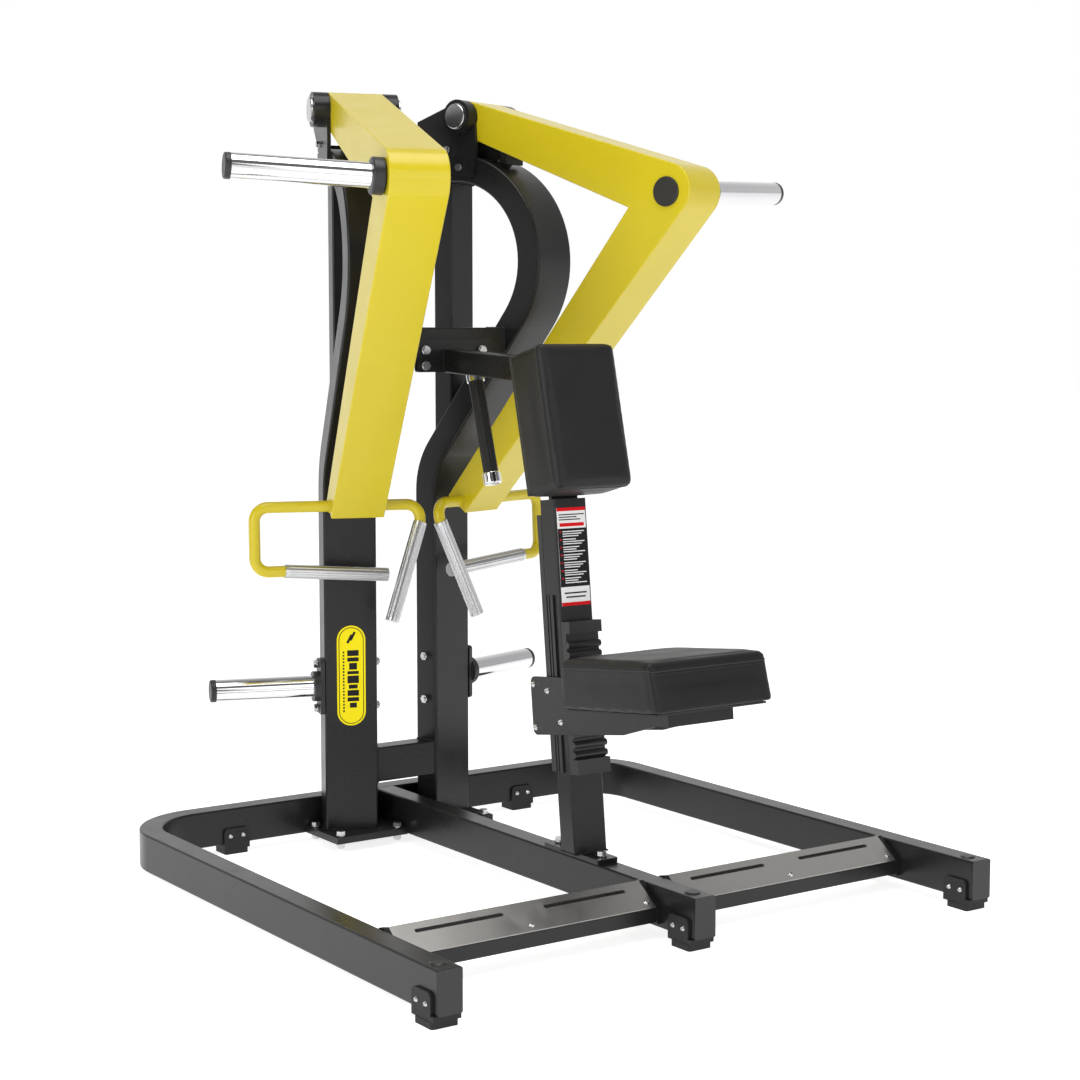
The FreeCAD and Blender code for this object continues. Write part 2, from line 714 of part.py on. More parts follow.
def peg_collar():
    root = (PEG_AXIS[0], ARM_HALF_WIDTH, PEG_AXIS[1])
    ring = sleeve(root, (0, 1, 0), PEG_COLLAR_RADIUS, 11, PEG_COLLAR_LENGTH)
    outer = [e for e in ring.Edges if isinstance(e.Curve, Part.Circle) and e.Curve.Radius > 30]
    ring = tilt_peg(ring.makeFillet(4, outer))
    wall = block((400, 0, 1200), (900, ARM_HALF_WIDTH, 1600))
    return ring.cut(wall)


def peg_cap():
    """The black plug on the tip of a weight peg."""
    start = (PEG_AXIS[0], PEG_TIP_Q, PEG_AXIS[1])
    cap = rod(start, (0, 1, 0), PEG_RADIUS, PEG_CAP_LENGTH)
    rim = [e for e in cap.Edges if isinstance(e.Curve, Part.Circle) and e.BoundBox.YMin > PEG_TIP_Q + 1]
    return tilt_peg(cap.makeFillet(3, rim))


def elbow_plug():
    """The black disc on the arm's inner face, over the peg bolt."""
    disc = rod((ELBOW_S - 1, -ARM_HALF_WIDTH, ELBOW_Z - 3), (0, -1, 0), 31, 4)
    inner = -ARM_HALF_WIDTH - 1
    rim = [e for e in disc.Edges if isinstance(e.Curve, Part.Circle) and e.BoundBox.YMax < inner]
    return disc.makeFillet(1.5, rim)


def bent_bar(points, bend, radius):
    """A round bar along a polyline whose corners are arcs of one radius."""
    nodes = [Vector(*point) for point in points]
    edges = []
    start = nodes[0]
    for before, corner, after in zip(nodes, nodes[1:], nodes[2:]):
        back = (before - corner).normalize()
        ahead = (after - corner).normalize()
        half = math.acos(max(-1, min(1, back.dot(ahead)))) / 2
        reach = bend / math.tan(half)
        enter = corner + back * reach
        leave = corner + ahead * reach
        middle = (back + ahead).normalize()
        apex = corner + middle * (bend / math.sin(half) - bend)
        edges.append(Part.makeLine(start, enter))
        edges.append(Part.Arc(enter, apex, leave).toShape())
        start = leave
    edges.append(Part.makeLine(start, nodes[-1]))
    path = Part.Wire(edges)
    direction = nodes[1] - nodes[0]
    ring = Part.Wire(Part.makeCircle(radius, nodes[0], direction))
    return path.makePipeShell([ring], True, True)


def handle_bar(points, tail_end):
    """A bent bar with a straight tail that the grip sleeves over."""
    last = Vector(*points[-1])
    reach = (Vector(*tail_end) - last).normalize() * GRIP_BORE
    return bent_bar(points[:-1] + [tuple(last), tuple(last + reach)], HANDLE_BEND, BAR_RADIUS)


def grip(start, end, length):
    """A fluted aluminium sleeve with a bore for the bar and a closed end."""
    base = Vector(*start)
    axis = (Vector(*end) - base).normalize()
    sleeve_body = rod(tuple(base), tuple(axis), GRIP_RADIUS, length)
    turn = FreeCAD.Rotation(UP, axis)
    flutes = []
    for k in range(12):
        angle = math.radians(30 * k)
        offset = turn.multVec(Vector(math.cos(angle), math.sin(angle), 0)) * (GRIP_RADIUS + 1.2)
        flutes.append(rod(tuple(base + offset + axis * 8), tuple(axis), 2.2, length - 16))
    body = sleeve_body.cut(flutes)
    return body.cut(rod(tuple(base), tuple(axis), BAR_RADIUS, GRIP_BORE))


# ---------------------------------------------------------------- storage pegs

def storage_flange():
    low = (STORAGE_S - FLANGE_DEPTH / 2, HALF_WIDTH, STORAGE_Z - FLANGE_HEIGHT / 2)
    high = (STORAGE_S + FLANGE_DEPTH / 2 - 8, HALF_WIDTH + FLANGE_THICK, STORAGE_Z + FLANGE_HEIGHT / 2)
    plate = round_edges(block(low, high), runs_along((0, 1, 0)), 8)
    for z_side in (-1, 1):
        start = (0, HALF_WIDTH, STORAGE_Z + z_side * STORAGE_BOLT_OFFSET)
        plate = plate.cut(rod(start, (0, 1, 0), STORAGE_BOLT_RADIUS, FLANGE_THICK))
    return plate


def storage_peg():
    """The chromed peg, with a thinner root that sits in the collar."""
    start = HALF_WIDTH + FLANGE_THICK
    shoulder = start + STORAGE_COLLAR
    end = STORAGE_TIP_Q - PEG_CAP_LENGTH
    root = rod((STORAGE_S - 4, start, STORAGE_Z), (0, 1, 0), PEG_RADIUS - 1, STORAGE_COLLAR)
    bar = rod((STORAGE_S - 4, shoulder, STORAGE_Z), (0, 1, 0), PEG_RADIUS, end - shoulder)
    return root.fuse(bar).removeSplitter()


def storage_collar():
    start = (STORAGE_S - 4, HALF_WIDTH + FLANGE_THICK, STORAGE_Z)
    return sleeve(start, (0, 1, 0), PEG_RADIUS + 9, PEG_RADIUS - 1, STORAGE_COLLAR)


def storage_cap():
    start = STORAGE_TIP_Q - PEG_CAP_LENGTH
    cap = rod((STORAGE_S - 4, start, STORAGE_Z), (0, 1, 0), PEG_RADIUS, PEG_CAP_LENGTH)
    rim = [e for e in cap.Edges if isinstance(e.Curve, Part.Circle) and e.BoundBox.YMin > start + 1]
    return cap.makeFillet(3, rim)


def storage_bolts():
    """Bolts through the column, heads outside and nuts on the inner face."""
    bolts = []
    for z_side in (-1, 1):
        z = STORAGE_Z + z_side * STORAGE_BOLT_OFFSET
        head = (0, HALF_WIDTH + FLANGE_THICK + 2, z)
        shape = bolt(head, (0, -1, 0), 2 * STORAGE_BOLT_RADIUS, TUBE_WIDTH + 24, 17)
        nut = hexagon((0, -HALF_WIDTH, z), (0, -1, 0), 17, 9)
        bolts.append(shape.fuse(nut))
    return bolts


def badge():
    """A plain pill-shaped plate on the left column's front face."""
    half = (BADGE_LENGTH - BADGE_WIDTH) / 2
    low = (HALF_DEPTH, -BADGE_WIDTH / 2, BADGE_Z - half)
    core = block(low, (HALF_DEPTH + 1.5, BADGE_WIDTH / 2, BADGE_Z + half))
    ends = [rod((HALF_DEPTH, 0, BADGE_Z + k * half), (1, 0, 0), BADGE_WIDTH / 2, 1.5) for k in (-1, 1)]
    return core.fuse(ends).removeSplitter()


# ---------------------------------------------------------------- seat post

def post_box(x_half, f_low, f_high, u_low, u_high):
    return block((-x_half, -f_high, u_low), (x_half, -f_low, u_high))


def post_profile(inset):
    """Side view of the post, (y, z) in the machine, cut level at its foot and square at its top."""
    half = POST_DEPTH / 2 - inset
    tilt = math.radians(POST_TILT)
    points = []
    for f, u in ((half, 0), (half, POST_LENGTH - inset), (-half, POST_LENGTH - inset), (-half, 0)):
        if u == 0:
            u = -f * math.tan(tilt) - inset
        y = POST_FOOT_Y - f * math.cos(tilt) + u * math.sin(tilt)
        points.append((y, RAIL_TOP + POST_FLANGE_THICK + f * math.sin(tilt) + u * math.cos(tilt)))
    return points


def seat_post():
    """The leaning tube, closed at its top round the spine."""
    outer = prism(post_profile(0), "x", -POST_WIDTH / 2, POST_WIDTH / 2)
    outer = round_edges(outer, lambda e: e.BoundBox.XLength < 0.01 and e.Length > 150, 4)
    inner_half = POST_WIDTH / 2 - RAIL_WALL
    tube = outer.cut(prism(post_profile(RAIL_WALL), "x", -inner_half, inner_half))
    return tube.cut(pad_spine())


def post_flange():
    low = (-RAIL_WIDTH / 2, POST_FLANGE_FRONT_Y, RAIL_TOP)
    plate = block(low, (RAIL_WIDTH / 2, POST_FLANGE_REAR_Y, RAIL_TOP + POST_FLANGE_THICK))
    plate = round_edges(plate, runs_along((0, 0, 1)), 4)
    for y in POST_BOLTS:
        plate = plate.cut(rod((0, y, RAIL_TOP), (0, 0, 1), 6, POST_FLANGE_THICK))
    return plate


def post_bolts():
    top = RAIL_TOP + POST_FLANGE_THICK + 2
    return [bolt((0, y, top), (0, 0, -1), 12, POST_FLANGE_THICK + 2, 18) for y in POST_BOLTS]


def seat_rack():
    """The notched rack on the front of the post, with a stop block at each end."""
    front = POST_DEPTH / 2
    half = POST_WIDTH / 2
    spine = post_box(half, front, front + RACK_BACK, RACK_LOW_U, RACK_HIGH_U)
    pieces = [
        post_box(half, front, front + 29, RACK_LOW_U, RACK_LOW_U + 30),
        post_box(half, front, front + 27, RACK_HIGH_U - 24, RACK_HIGH_U),
    ]
    crown = front + RACK_BACK + RACK_TOOTH - TOOTH_RADIUS
    first = RACK_LOW_U + 30 + TOOTH_RADIUS + 2
    count = int((RACK_HIGH_U - 24 - TOOTH_RADIUS - first) / RACK_PITCH) + 1
    for k in range(count):
        pieces.append(rod((-half, -crown, first + k * RACK_PITCH), (1, 0, 0), TOOTH_RADIUS, POST_WIDTH))
    return from_post(spine.fuse(pieces).removeSplitter())


def rear_guide():
    """The bar on the back of the post that the rear rollers bear on."""
    back = -POST_DEPTH / 2
    return from_post(post_box(GUIDE_HALF_WIDTH, back - GUIDE_THICK, back, GUIDE_LOW_U, GUIDE_HIGH_U))


def side_strips():
    """Two grooved plastic glide strips on the sides of the post."""
    strips = []
    for side in (-1, 1):
        low = side * POST_WIDTH / 2
        face = low + side * 4
        strip = block((min(low, face), -6, GUIDE_LOW_U), (max(low, face), 22, 520))
        for y in (2, 11):
            strip = strip.cut(block((face - 1.5, y, GUIDE_LOW_U - 3), (face + 1.5, y + 5, 523)))
        strips.append(from_post(strip))
    return strips


def placard():
    """A plain information plate on the front of the post."""
    front = POST_DEPTH / 2
    return from_post(post_box(PLACARD_HALF_WIDTH, front, front + 0.8, PLACARD_LOW_U, PLACARD_HIGH_U))


# ---------------------------------------------------------------- seat carriage

def carriage_side(side):
    """One cheek of the seat carriage: a plate round the post that reaches forward under the cushion."""
    inner, outer = sorted((side * SIDE_PLATE_X, side * (SIDE_PLATE_X + CHEEK_THICK)))
    points = [(-322, PAN_LOW_U), (-322, 270), (-223, 250), (80, CARRIAGE_LOW_U), (80, CARRIAGE_HIGH_U)]
    points += [(-60, CARRIAGE_HIGH_U), (-60, PAN_LOW_U)]
    plate = prism(points, "x", inner, outer)
    return round_edges(plate, lambda e: runs_along((1, 0, 0))(e) and e.BoundBox.YMin > 0, 14)


def roller_spots():
    """Where each roller stands, as (f, u): two behind the guide bar and one on the rack's teeth."""
    rear = -POST_DEPTH / 2 - GUIDE_THICK - ROLLER_RADIUS - SLIDE_GAP
    front = POST_DEPTH / 2 + RACK_BACK + RACK_TOOTH + ROLLER_RADIUS + SLIDE_GAP
    return [(rear, u) for u in REAR_ROLLERS] + [(front, FRONT_ROLLER)]


def seat_carriage():
    """Two cheeks joined by cross webs, drilled for the roller pins."""
    cheeks = [carriage_side(side) for side in (-1, 1)]
    web = post_box(SIDE_PLATE_X, 96, 102, 262, PAN_LOW_U)
    rib = post_box(SIDE_PLATE_X, 190, 196, 262, PAN_LOW_U)
    frame = cheeks[0].fuse([cheeks[1], web, rib])
    for f, u in roller_spots():
        frame = frame.cut(rod((-60, -f, u), (1, 0, 0), ROLLER_PIN, 120))
    return from_post(frame)


def seat_pan():
    """The pressed pan under the cushion, with the shallow tray at its front."""
    pan = post_box(PAN_HALF_WIDTH, 110, 402, PAN_LOW_U, PAN_HIGH_U)
    tray = post_box(PAN_HALF_WIDTH, 324, 402, 276, PAN_LOW_U)
    tray = tray.cut(post_box(PAN_HALF_WIDTH - 4, 328, 398, 280, PAN_LOW_U))
    return from_post(pan.fuse(tray))


def carriage_rollers():
    shapes = []
    for f, u in roller_spots():
        roller = rod((-SIDE_PLATE_X + 1, -f, u), (1, 0, 0), ROLLER_RADIUS, 2 * SIDE_PLATE_X - 2)
        pin_start = (-SIDE_PLATE_X - CHEEK_THICK, -f, u)
        pin = rod(pin_start, (1, 0, 0), ROLLER_PIN, 2 * (SIDE_PLATE_X + CHEEK_THICK))
        shapes.append(from_post(roller.fuse(pin)))
    return shapes


def carriage_screws():
    """Button-head screws on both cheeks."""
    screws = []
    for side in (-1, 1):
        for f, u in ((-23, 328), (18, 266), (-72, 340), (-72, 252)):
            start = Vector(side * (SIDE_PLATE_X + CHEEK_THICK), -f, u)
            dome = Part.makeCone(6.5, 4, 3.4, start, Vector(side, 0, 0))
            socket = hexagon(tuple(start + Vector(side * 1.5, 0, 0)), (side, 0, 0), 4, 3)
            screws.append(from_post(dome.cut(socket)))
    return screws


def seat_cushion():
    """The cushion as one plain wedge: level top, front face flared at its foot."""
    points = [
        (-SEAT_REAR_F, SEAT_LOW_U), (-SEAT_FRONT_F - 17, SEAT_LOW_U),
        (-SEAT_FRONT_F, SEAT_HIGH_U), (-SEAT_REAR_F, SEAT_HIGH_U),
    ]
    body = prism(points, "x", -SEAT_HALF_WIDTH, SEAT_HALF_WIDTH)
    body = round_edges(body, lambda e: e.BoundBox.ZMax > SEAT_HIGH_U - 90, 12)
    return from_post(body)


def seat_board():
    """The plywood base of the seat cushion, screwed to the pan."""
    low, high = SEAT_REAR_F + 6, SEAT_FRONT_F + 2
    return from_post(post_box(SEAT_HALF_WIDTH - 12, low, high, PAN_HIGH_U, SEAT_LOW_U))


# ---------------------------------------------------------------- chest pad

def pad_front_space():
    """Everything in front of the chest pad's back plane."""
    return from_pad(block((-200, -300, -100), (200, 0, 400)))


def tilt_pad_bar(shape):
    moved = shape.copy()
    moved.rotate(ORIGIN, Vector(1, 0, 0), PAD_BAR_TILT)
    moved.translate(Vector(0, PAD_BAR_ROOT_Y, PAD_BAR_ROOT_Z))
    return moved


def pad_bar_solid():
    """The pad bar as a solid bar, in the machine frame."""
    half = PAD_BAR_SIZE / 2
    return tilt_pad_bar(block((-half, -PAD_BAR_LENGTH, -half), (half, 5, half))).cut(pad_front_space())


def pad_bar():
    """The tube from the four-bolt plate to the back of the chest pad."""
    half = PAD_BAR_SIZE / 2
    outer = block((-half, -PAD_BAR_LENGTH, -half), (half, 5, half))
    outer = round_edges(outer, runs_along((0, 1, 0)), 4)
    hole = half - RAIL_WALL
    bar = tilt_pad_bar(outer.cut(block((-hole, -PAD_BAR_LENGTH - 1, -hole), (hole, 6, hole))))
    wall = block((-200, PAD_BAR_ROOT_Y, 900), (200, PAD_BAR_ROOT_Y + 60, 1300))
    return bar.cut(wall).cut(pad_front_space())


def pad_spine():
    """The flat bar behind the chest pad, from the post up to the pad bar."""
    spine = from_pad(block((-SPINE_HALF_WIDTH, 0, -45), (SPINE_HALF_WIDTH, SPINE_THICK, 260)))
    spine = spine.cut(pad_bar_solid())
    return min(spine.Solids, key=lambda part: part.CenterOfMass.z)


def pad_bar_plate():
    """The four-bolt plate that holds the pad bar to the crossmember."""
    plate = block((-92, PAD_BAR_ROOT_Y, 1070), (92, CROSSMEMBER_Y - 25, 1141))
    plate = round_edges(plate, runs_along((0, 1, 0)), 6)
    for x, z in PAD_BOLTS:
        plate = plate.cut(rod((x, PAD_BAR_ROOT_Y, z), (0, 1, 0), 5, 10))
    return plate


def pad_bar_bolts():
    return [bolt((x, PAD_BAR_ROOT_Y - 2, z), (0, 1, 0), 10, 12, 16) for x, z in PAD_BOLTS]


def crossmember():
    """The tube between the two leaning uprights, cut to their inner faces."""
    low = (-170, CROSSMEMBER_Y - 25, CROSSMEMBER_LOW)
    high = (170, CROSSMEMBER_Y + 25, CROSSMEMBER_HIGH)
    tube = box_tube(low, high, (1, 0, 0))
    beyond = block((-200, -HALF_WIDTH, 1000), (600, 400, 1300))
    for side in (-1, 1):
        tube = tube.cut(place(beyond, side))
    return tube


def chest_pad():
    """The chest pad as one plain rounded block."""
    low = (-PAD_HALF_WIDTH, -PAD_BOARD - PAD_THICK, 0)
    body = block(low, (PAD_HALF_WIDTH, -PAD_BOARD, PAD_HEIGHT))
    body = round_edges(body, lambda e: e.BoundBox.YMin < -PAD_BOARD - 1, 12)
    return from_pad(body)


def pad_board():
    return from_pad(block((-PAD_HALF_WIDTH + 6, -PAD_BOARD, 6), (PAD_HALF_WIDTH - 6, 0, PAD_HEIGHT - 6)))


def steady_axis():
    return (STEADY_TIP - STEADY_TOP).normalize()


def steady_grip():
    """The fluted rubber hand grip that hangs from the pad bar, for the idle hand."""
    axis = steady_axis()
    length = (STEADY_TIP - STEADY_TOP).Length - 12 - KNOB_LENGTH
    body = rod(tuple(STEADY_TOP + axis * 12), tuple(axis), STEADY_RADIUS, length)
    turn = FreeCAD.Rotation(UP, axis)
    flutes = []
    for k in range(10):
        angle = math.radians(36 * k)
        offset = turn.multVec(Vector(math.cos(angle), math.sin(angle), 0)) * (STEADY_RADIUS + 1)
        flutes.append(rod(tuple(STEADY_TOP + offset + axis * 20), tuple(axis), 2, length - 16))
    return body.cut(flutes)


def steady_grip_trim():
    """The chromed collar and end knob of the steady grip."""
    axis = steady_axis()
    collar = rod(tuple(STEADY_TOP - axis * 24), tuple(axis), KNOB_RADIUS - 0.5, 36)
    collar = max(collar.cut(pad_bar_solid()).Solids, key=lambda part: -part.CenterOfMass.z)
    knob = rod(tuple(STEADY_TIP - axis * KNOB_LENGTH), tuple(axis), KNOB_RADIUS, KNOB_LENGTH)
    rim = [e for e in knob.Edges if isinstance(e.Curve, Part.Circle)]
    return [collar, knob.makeFillet(4, rim)]


# ---------------------------------------------------------------- foot plates

def step_slope():
    return math.atan2(STEP_REAR_Z - STEP_FRONT_Z, STEP_REAR_Y - STEP_FRONT_Y)


def step_box(side):
    """The wedge-shaped box under one foot plate, with a cheek at each end."""
    inner = RAIL_WIDTH / 2
    outer = RAIL_X - RAIL_WIDTH / 2
    front = (STEP_FRONT_Y, STEP_FRONT_Z)
    rear = (STEP_REAR_Y, STEP_REAR_Z)
    points = [rear, front, (STEP_FRONT_Y, STEP_BOTTOM_Z), (STEP_REAR_Y + 14, STEP_BOTTOM_Z)]
    points.append((STEP_REAR_Y + 14, STEP_REAR_Z))
    body = prism(points, "x", inner + STEP_CHEEK, outer - STEP_CHEEK)
    cheek = [(y, z + 4) for y, z in points[:2]] + [(STEP_FRONT_Y - 4, STEP_FRONT_Z)]
    cheek += [(STEP_FRONT_Y - 4, STEP_BOTTOM_Z - 3), (STEP_REAR_Y + 16, STEP_BOTTOM_Z - 3)]
    cheek.append((STEP_REAR_Y + 16, STEP_REAR_Z + 1))
    low = prism(cheek, "x", inner, inner + STEP_CHEEK)
    high = prism(cheek, "x", outer - STEP_CHEEK, outer)
    shape = body.fuse([low, high])
    if side < 0:
        shape = shape.mirror(ORIGIN, Vector(1, 0, 0))
    return shape


def from_slope(shape):
    """Move a shape whose top plane is z = 0, y down the slope, onto the step's slope."""
    moved = shape.copy()
    moved.rotate(ORIGIN, Vector(1, 0, 0), math.degrees(step_slope()))
    moved.translate(Vector(0, STEP_REAR_Y, STEP_REAR_Z))
    return moved


def foot_plate(side):
    """The stainless tread with two long slots."""
    inner = RAIL_WIDTH / 2 + STEP_CHEEK + 1
    outer = RAIL_X - RAIL_WIDTH / 2 - STEP_CHEEK - 1
    sheet = block((inner, -64.5, 0), (outer, 3, STEP_SHEET))
    for low, high in STEP_SLOTS:
        slot = block((low, -20, -1), (high, -12, STEP_SHEET + 1))
        sheet = sheet.cut(round_edges(slot, runs_along((0, 0, 1)), 3.9))
    for x in STEP_SCREWS:
        sheet = sheet.cut(rod((x, -50, -1), (0, 0, 1), 3.5, STEP_SHEET + 2))
    sheet = from_slope(sheet)
    if side < 0:
        sheet = sheet.mirror(ORIGIN, Vector(1, 0, 0))
    return sheet


def foot_plate_screws():
    screws = []
    for side in (-1, 1):
        for x in STEP_SCREWS:
            screws.append(from_slope(button_screw((side * x, -50, STEP_SHEET), (0, 0, -1), 6, STEP_SHEET)))
    return screws


# ---------------------------------------------------------------- build

def group(shapes):
    return Part.makeCompound(shapes)


def both(make):
    """One piece and its mirror image, as a group."""
    return group([place(make, side) for side in (-1, 1)])


def build_base():
    for name, side in SIDES:
        export(side_rail(side), name + "_side_rail")
        export(rear_bend(side), name + "_rear_bend")
    export(rear_rail(), "rear_rail")
    export(centre_beam(), "centre_beam")
    export(group([base_plate(side) for side in (-1, 1)]), "base_plates")
    ends = ((-RAIL_X, BASE_FRONT_Y), (0, BEAM_FRONT_Y), (RAIL_X, BASE_FRONT_Y))
    export(group([rail_plug(x, y) for x, y in ends]), "rail_end_plugs")
    export(group([top_plug(x, y + 36) for x, y in ends]), "rail_top_plugs")
    feet = [front_foot(x, y) for x, y in ends] + [rear_foot(side) for side in (-1, 1)]
    export(group([drill_shoe(foot) for foot in feet]), "rubber_feet")
    export(group(foot_screws() + foot_plate_screws()), "button_screws")


def build_bolts():
    storage = [both(shape) for shape in storage_bolts()]
    export(group(base_bolts(-1) + base_bolts(1) + post_bolts() + storage), "machine_bolts")
    export(group([both(shape) for shape in hub_bolts()] + pad_bar_bolts()), "bracket_bolts")


def build_sides():
    outer = upright_outer()
    tube = upright(outer)
    for name, side in SIDES:
        export(place(tube, side), name + "_upright")
        build_arm(name, side)
    export(both(rear_pillar()), "rear_pillars")
    export(both(hoop_end_cap()), "upright_caps")
    export(both(hub_bracket()), "hub_brackets")
    export(both(group(hub_bearings())), "hub_bearings")
    export(both(stop_block(outer)), "stop_blocks")
    export(both(stop_bumper()), "stop_bumpers")
    export(both(storage_peg()), "storage_pegs")
    export(both(group([storage_flange(), storage_collar(), storage_cap()])), "storage_mounts")
    export(crossbar(), "column_crossbar")
    export(crossmember(), "pad_crossmember")
    export(place(badge(), -1), "column_badge")


def build_arm(name, side):
    export(place(swing_arm(), side), name + "_swing_arm")
    export(place(group([pivot_shaft()] + pivot_caps()), side), name + "_pivot_axle")
    export(place(weight_peg(), side), name + "_weight_peg")
    export(place(group([peg_collar(), peg_cap(), elbow_plug()]), side), name + "_arm_trim")
    bars = [handle_bar(OUTER_HANDLE, OUTER_GRIP_END), handle_bar(INNER_HANDLE, INNER_GRIP_END)]
    export(place(group(bars), side), name + "_handle_bars")
    grips = [
        grip(OUTER_HANDLE[-1], OUTER_GRIP_END, OUTER_GRIP_LENGTH),
        grip(INNER_HANDLE[-1], INNER_GRIP_END, INNER_GRIP_LENGTH),
    ]
    export(place(group(grips), side), name + "_hand_grips")


def build_seat():
    export(seat_post(), "seat_post")
    export(post_flange(), "post_flange")
    export(seat_rack(), "seat_rack")
    export(rear_guide(), "seat_rear_guide")
    export(group(side_strips()), "seat_glide_strips")
    export(placard(), "post_placard")
    export(seat_carriage(), "seat_carriage")
    export(seat_pan(), "seat_pan")
    export(group(carriage_rollers()), "carriage_rollers")
    export(group(carriage_screws()), "carriage_screws")
    export(seat_board(), "seat_board")
    export(seat_cushion(), "seat_cushion")


def build_pad():
    export(pad_bar(), "pad_bar")
    export(pad_spine(), "pad_spine")
    export(pad_bar_plate(), "pad_bar_plate")
    export(chest_pad(), "chest_pad")
    export(pad_board(), "chest_pad_board")
    export(steady_grip(), "steady_grip")
    export(group(steady_grip_trim()), "steady_grip_trim")


def build_steps():
    export(group([step_box(side) for side in (-1, 1)]), "step_boxes")
    export(group([foot_plate(side) for side in (-1, 1)]), "foot_plates")


build_base()
build_bolts()
build_sides()
build_seat()
build_pad()
build_steps()
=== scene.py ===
"""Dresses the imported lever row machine: finishes, upholstery, welds and printed plates."""

import json  # noqa: E402
import logging  # noqa: E402
import math  # noqa: E402
from dataclasses import dataclass, field  # noqa: E402
from enum import Enum  # noqa: E402

import bmesh  # noqa: E402
import bpy  # noqa: E402
import numpy as np  # noqa: E402
from mathutils import Matrix, Vector  # noqa: E402
from mathutils.bvhtree import BVHTree  # noqa: E402


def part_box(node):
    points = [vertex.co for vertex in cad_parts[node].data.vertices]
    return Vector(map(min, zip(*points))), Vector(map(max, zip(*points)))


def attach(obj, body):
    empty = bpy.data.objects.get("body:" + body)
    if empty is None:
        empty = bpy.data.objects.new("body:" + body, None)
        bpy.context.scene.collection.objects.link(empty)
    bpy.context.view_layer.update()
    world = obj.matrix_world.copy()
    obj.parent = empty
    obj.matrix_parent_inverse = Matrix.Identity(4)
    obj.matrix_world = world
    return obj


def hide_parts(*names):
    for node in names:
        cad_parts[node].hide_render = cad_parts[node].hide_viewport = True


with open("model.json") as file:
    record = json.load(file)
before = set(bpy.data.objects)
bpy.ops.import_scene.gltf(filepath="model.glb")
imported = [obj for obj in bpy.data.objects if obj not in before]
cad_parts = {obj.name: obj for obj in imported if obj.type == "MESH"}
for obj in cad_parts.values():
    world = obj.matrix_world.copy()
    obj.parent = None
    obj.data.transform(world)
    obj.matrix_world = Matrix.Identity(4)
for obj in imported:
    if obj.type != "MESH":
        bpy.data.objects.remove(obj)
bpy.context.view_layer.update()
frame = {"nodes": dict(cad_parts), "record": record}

log = logging.getLogger("row_machine")

Colour = Triple = tuple[float, float, float]
Span = tuple[float, float]
MM = 0.001


class Grain(Enum):
    """The kinds of fine surface relief used on the machine."""

    PEEL = "powder_peel"
    PEBBLE = "vinyl_pebble"
    BRUSHED = "brushed_lines"
    MOULDED = "moulded_speckle"


# ---- node helpers


def wire(tree: bpy.types.NodeTree, source: bpy.types.NodeSocket, target: bpy.types.NodeSocket) -> None:
    """Join an output socket to an input socket."""
    tree.links.new(source, target)


def add(tree: bpy.types.NodeTree, kind: str, **settings: object) -> bpy.types.Node:
    """Add a node and set its plain properties.

    Args:
        tree: The tree that takes the node.
        kind: The node's type name.
        settings: Property names and values.

    Returns:
        The new node.
    """
    node = tree.nodes.new(kind)
    for key, value in settings.items():
        setattr(node, key, value)
    return node


def maths(
    tree: bpy.types.NodeTree, operation: str, first: object, second: object = None, clamp: bool = False
) -> bpy.types.NodeSocket:
    """Add a Math node.

    Args:
        tree: The tree that takes the node.
        operation: The node's operation.
        first: A socket or a number.
        second: A socket, a number, or nothing.
        clamp: Whether the result is kept between 0 and 1.

    Returns:
        The result's socket.
    """
    node = add(tree, "ShaderNodeMath", operation=operation, use_clamp=clamp)
    for slot_index, value in enumerate((first, second)):
        if isinstance(value, bpy.types.NodeSocket):
            wire(tree, value, node.inputs[slot_index])
        elif value is not None:
            node.inputs[slot_index].default_value = value
    return node.outputs[0]


def mix_colour(
    tree: bpy.types.NodeTree, factor: bpy.types.NodeSocket, first: object, second: object
) -> bpy.types.NodeSocket:
    """Add a colour Mix node.

    Args:
        tree: The tree that takes the node.
        factor: How much of the second colour shows.
        first: A socket or a colour.
        second: A socket or a colour.

    Returns:
        The result's socket.
    """
    node = add(tree, "ShaderNodeMix", data_type="RGBA")
    wire(tree, factor, node.inputs["Factor"])
    for socket, value in ((node.inputs[6], first), (node.inputs[7], second)):
        if isinstance(value, bpy.types.NodeSocket):
            wire(tree, value, socket)
        else:
            socket.default_value = (*value, 1.0)
    return node.outputs[2]


def spread(
    tree: bpy.types.NodeTree, value: bpy.types.NodeSocket, old: Span, new: Span
) -> bpy.types.NodeSocket:
    """Map a value from one range to another, clamped."""
    node = add(tree, "ShaderNodeMapRange")
    wire(tree, value, node.inputs["Value"])
    node.inputs["From Min"].default_value, node.inputs["From Max"].default_value = old
    node.inputs["To Min"].default_value, node.inputs["To Max"].default_value = new
    return node.outputs["Result"]


def noise(
    tree: bpy.types.NodeTree, vector: bpy.types.NodeSocket, scale: object, detail: float = 3.0
) -> bpy.types.NodeSocket:
    """Add a Noise texture and return its value socket."""
    node = add(tree, "ShaderNodeTexNoise")
    wire(tree, vector, node.inputs["Vector"])
    if isinstance(scale, bpy.types.NodeSocket):
        wire(tree, scale, node.inputs["Scale"])
    else:
        node.inputs["Scale"].default_value = scale
    node.inputs["Detail"].default_value = detail
    return node.outputs["Fac"]


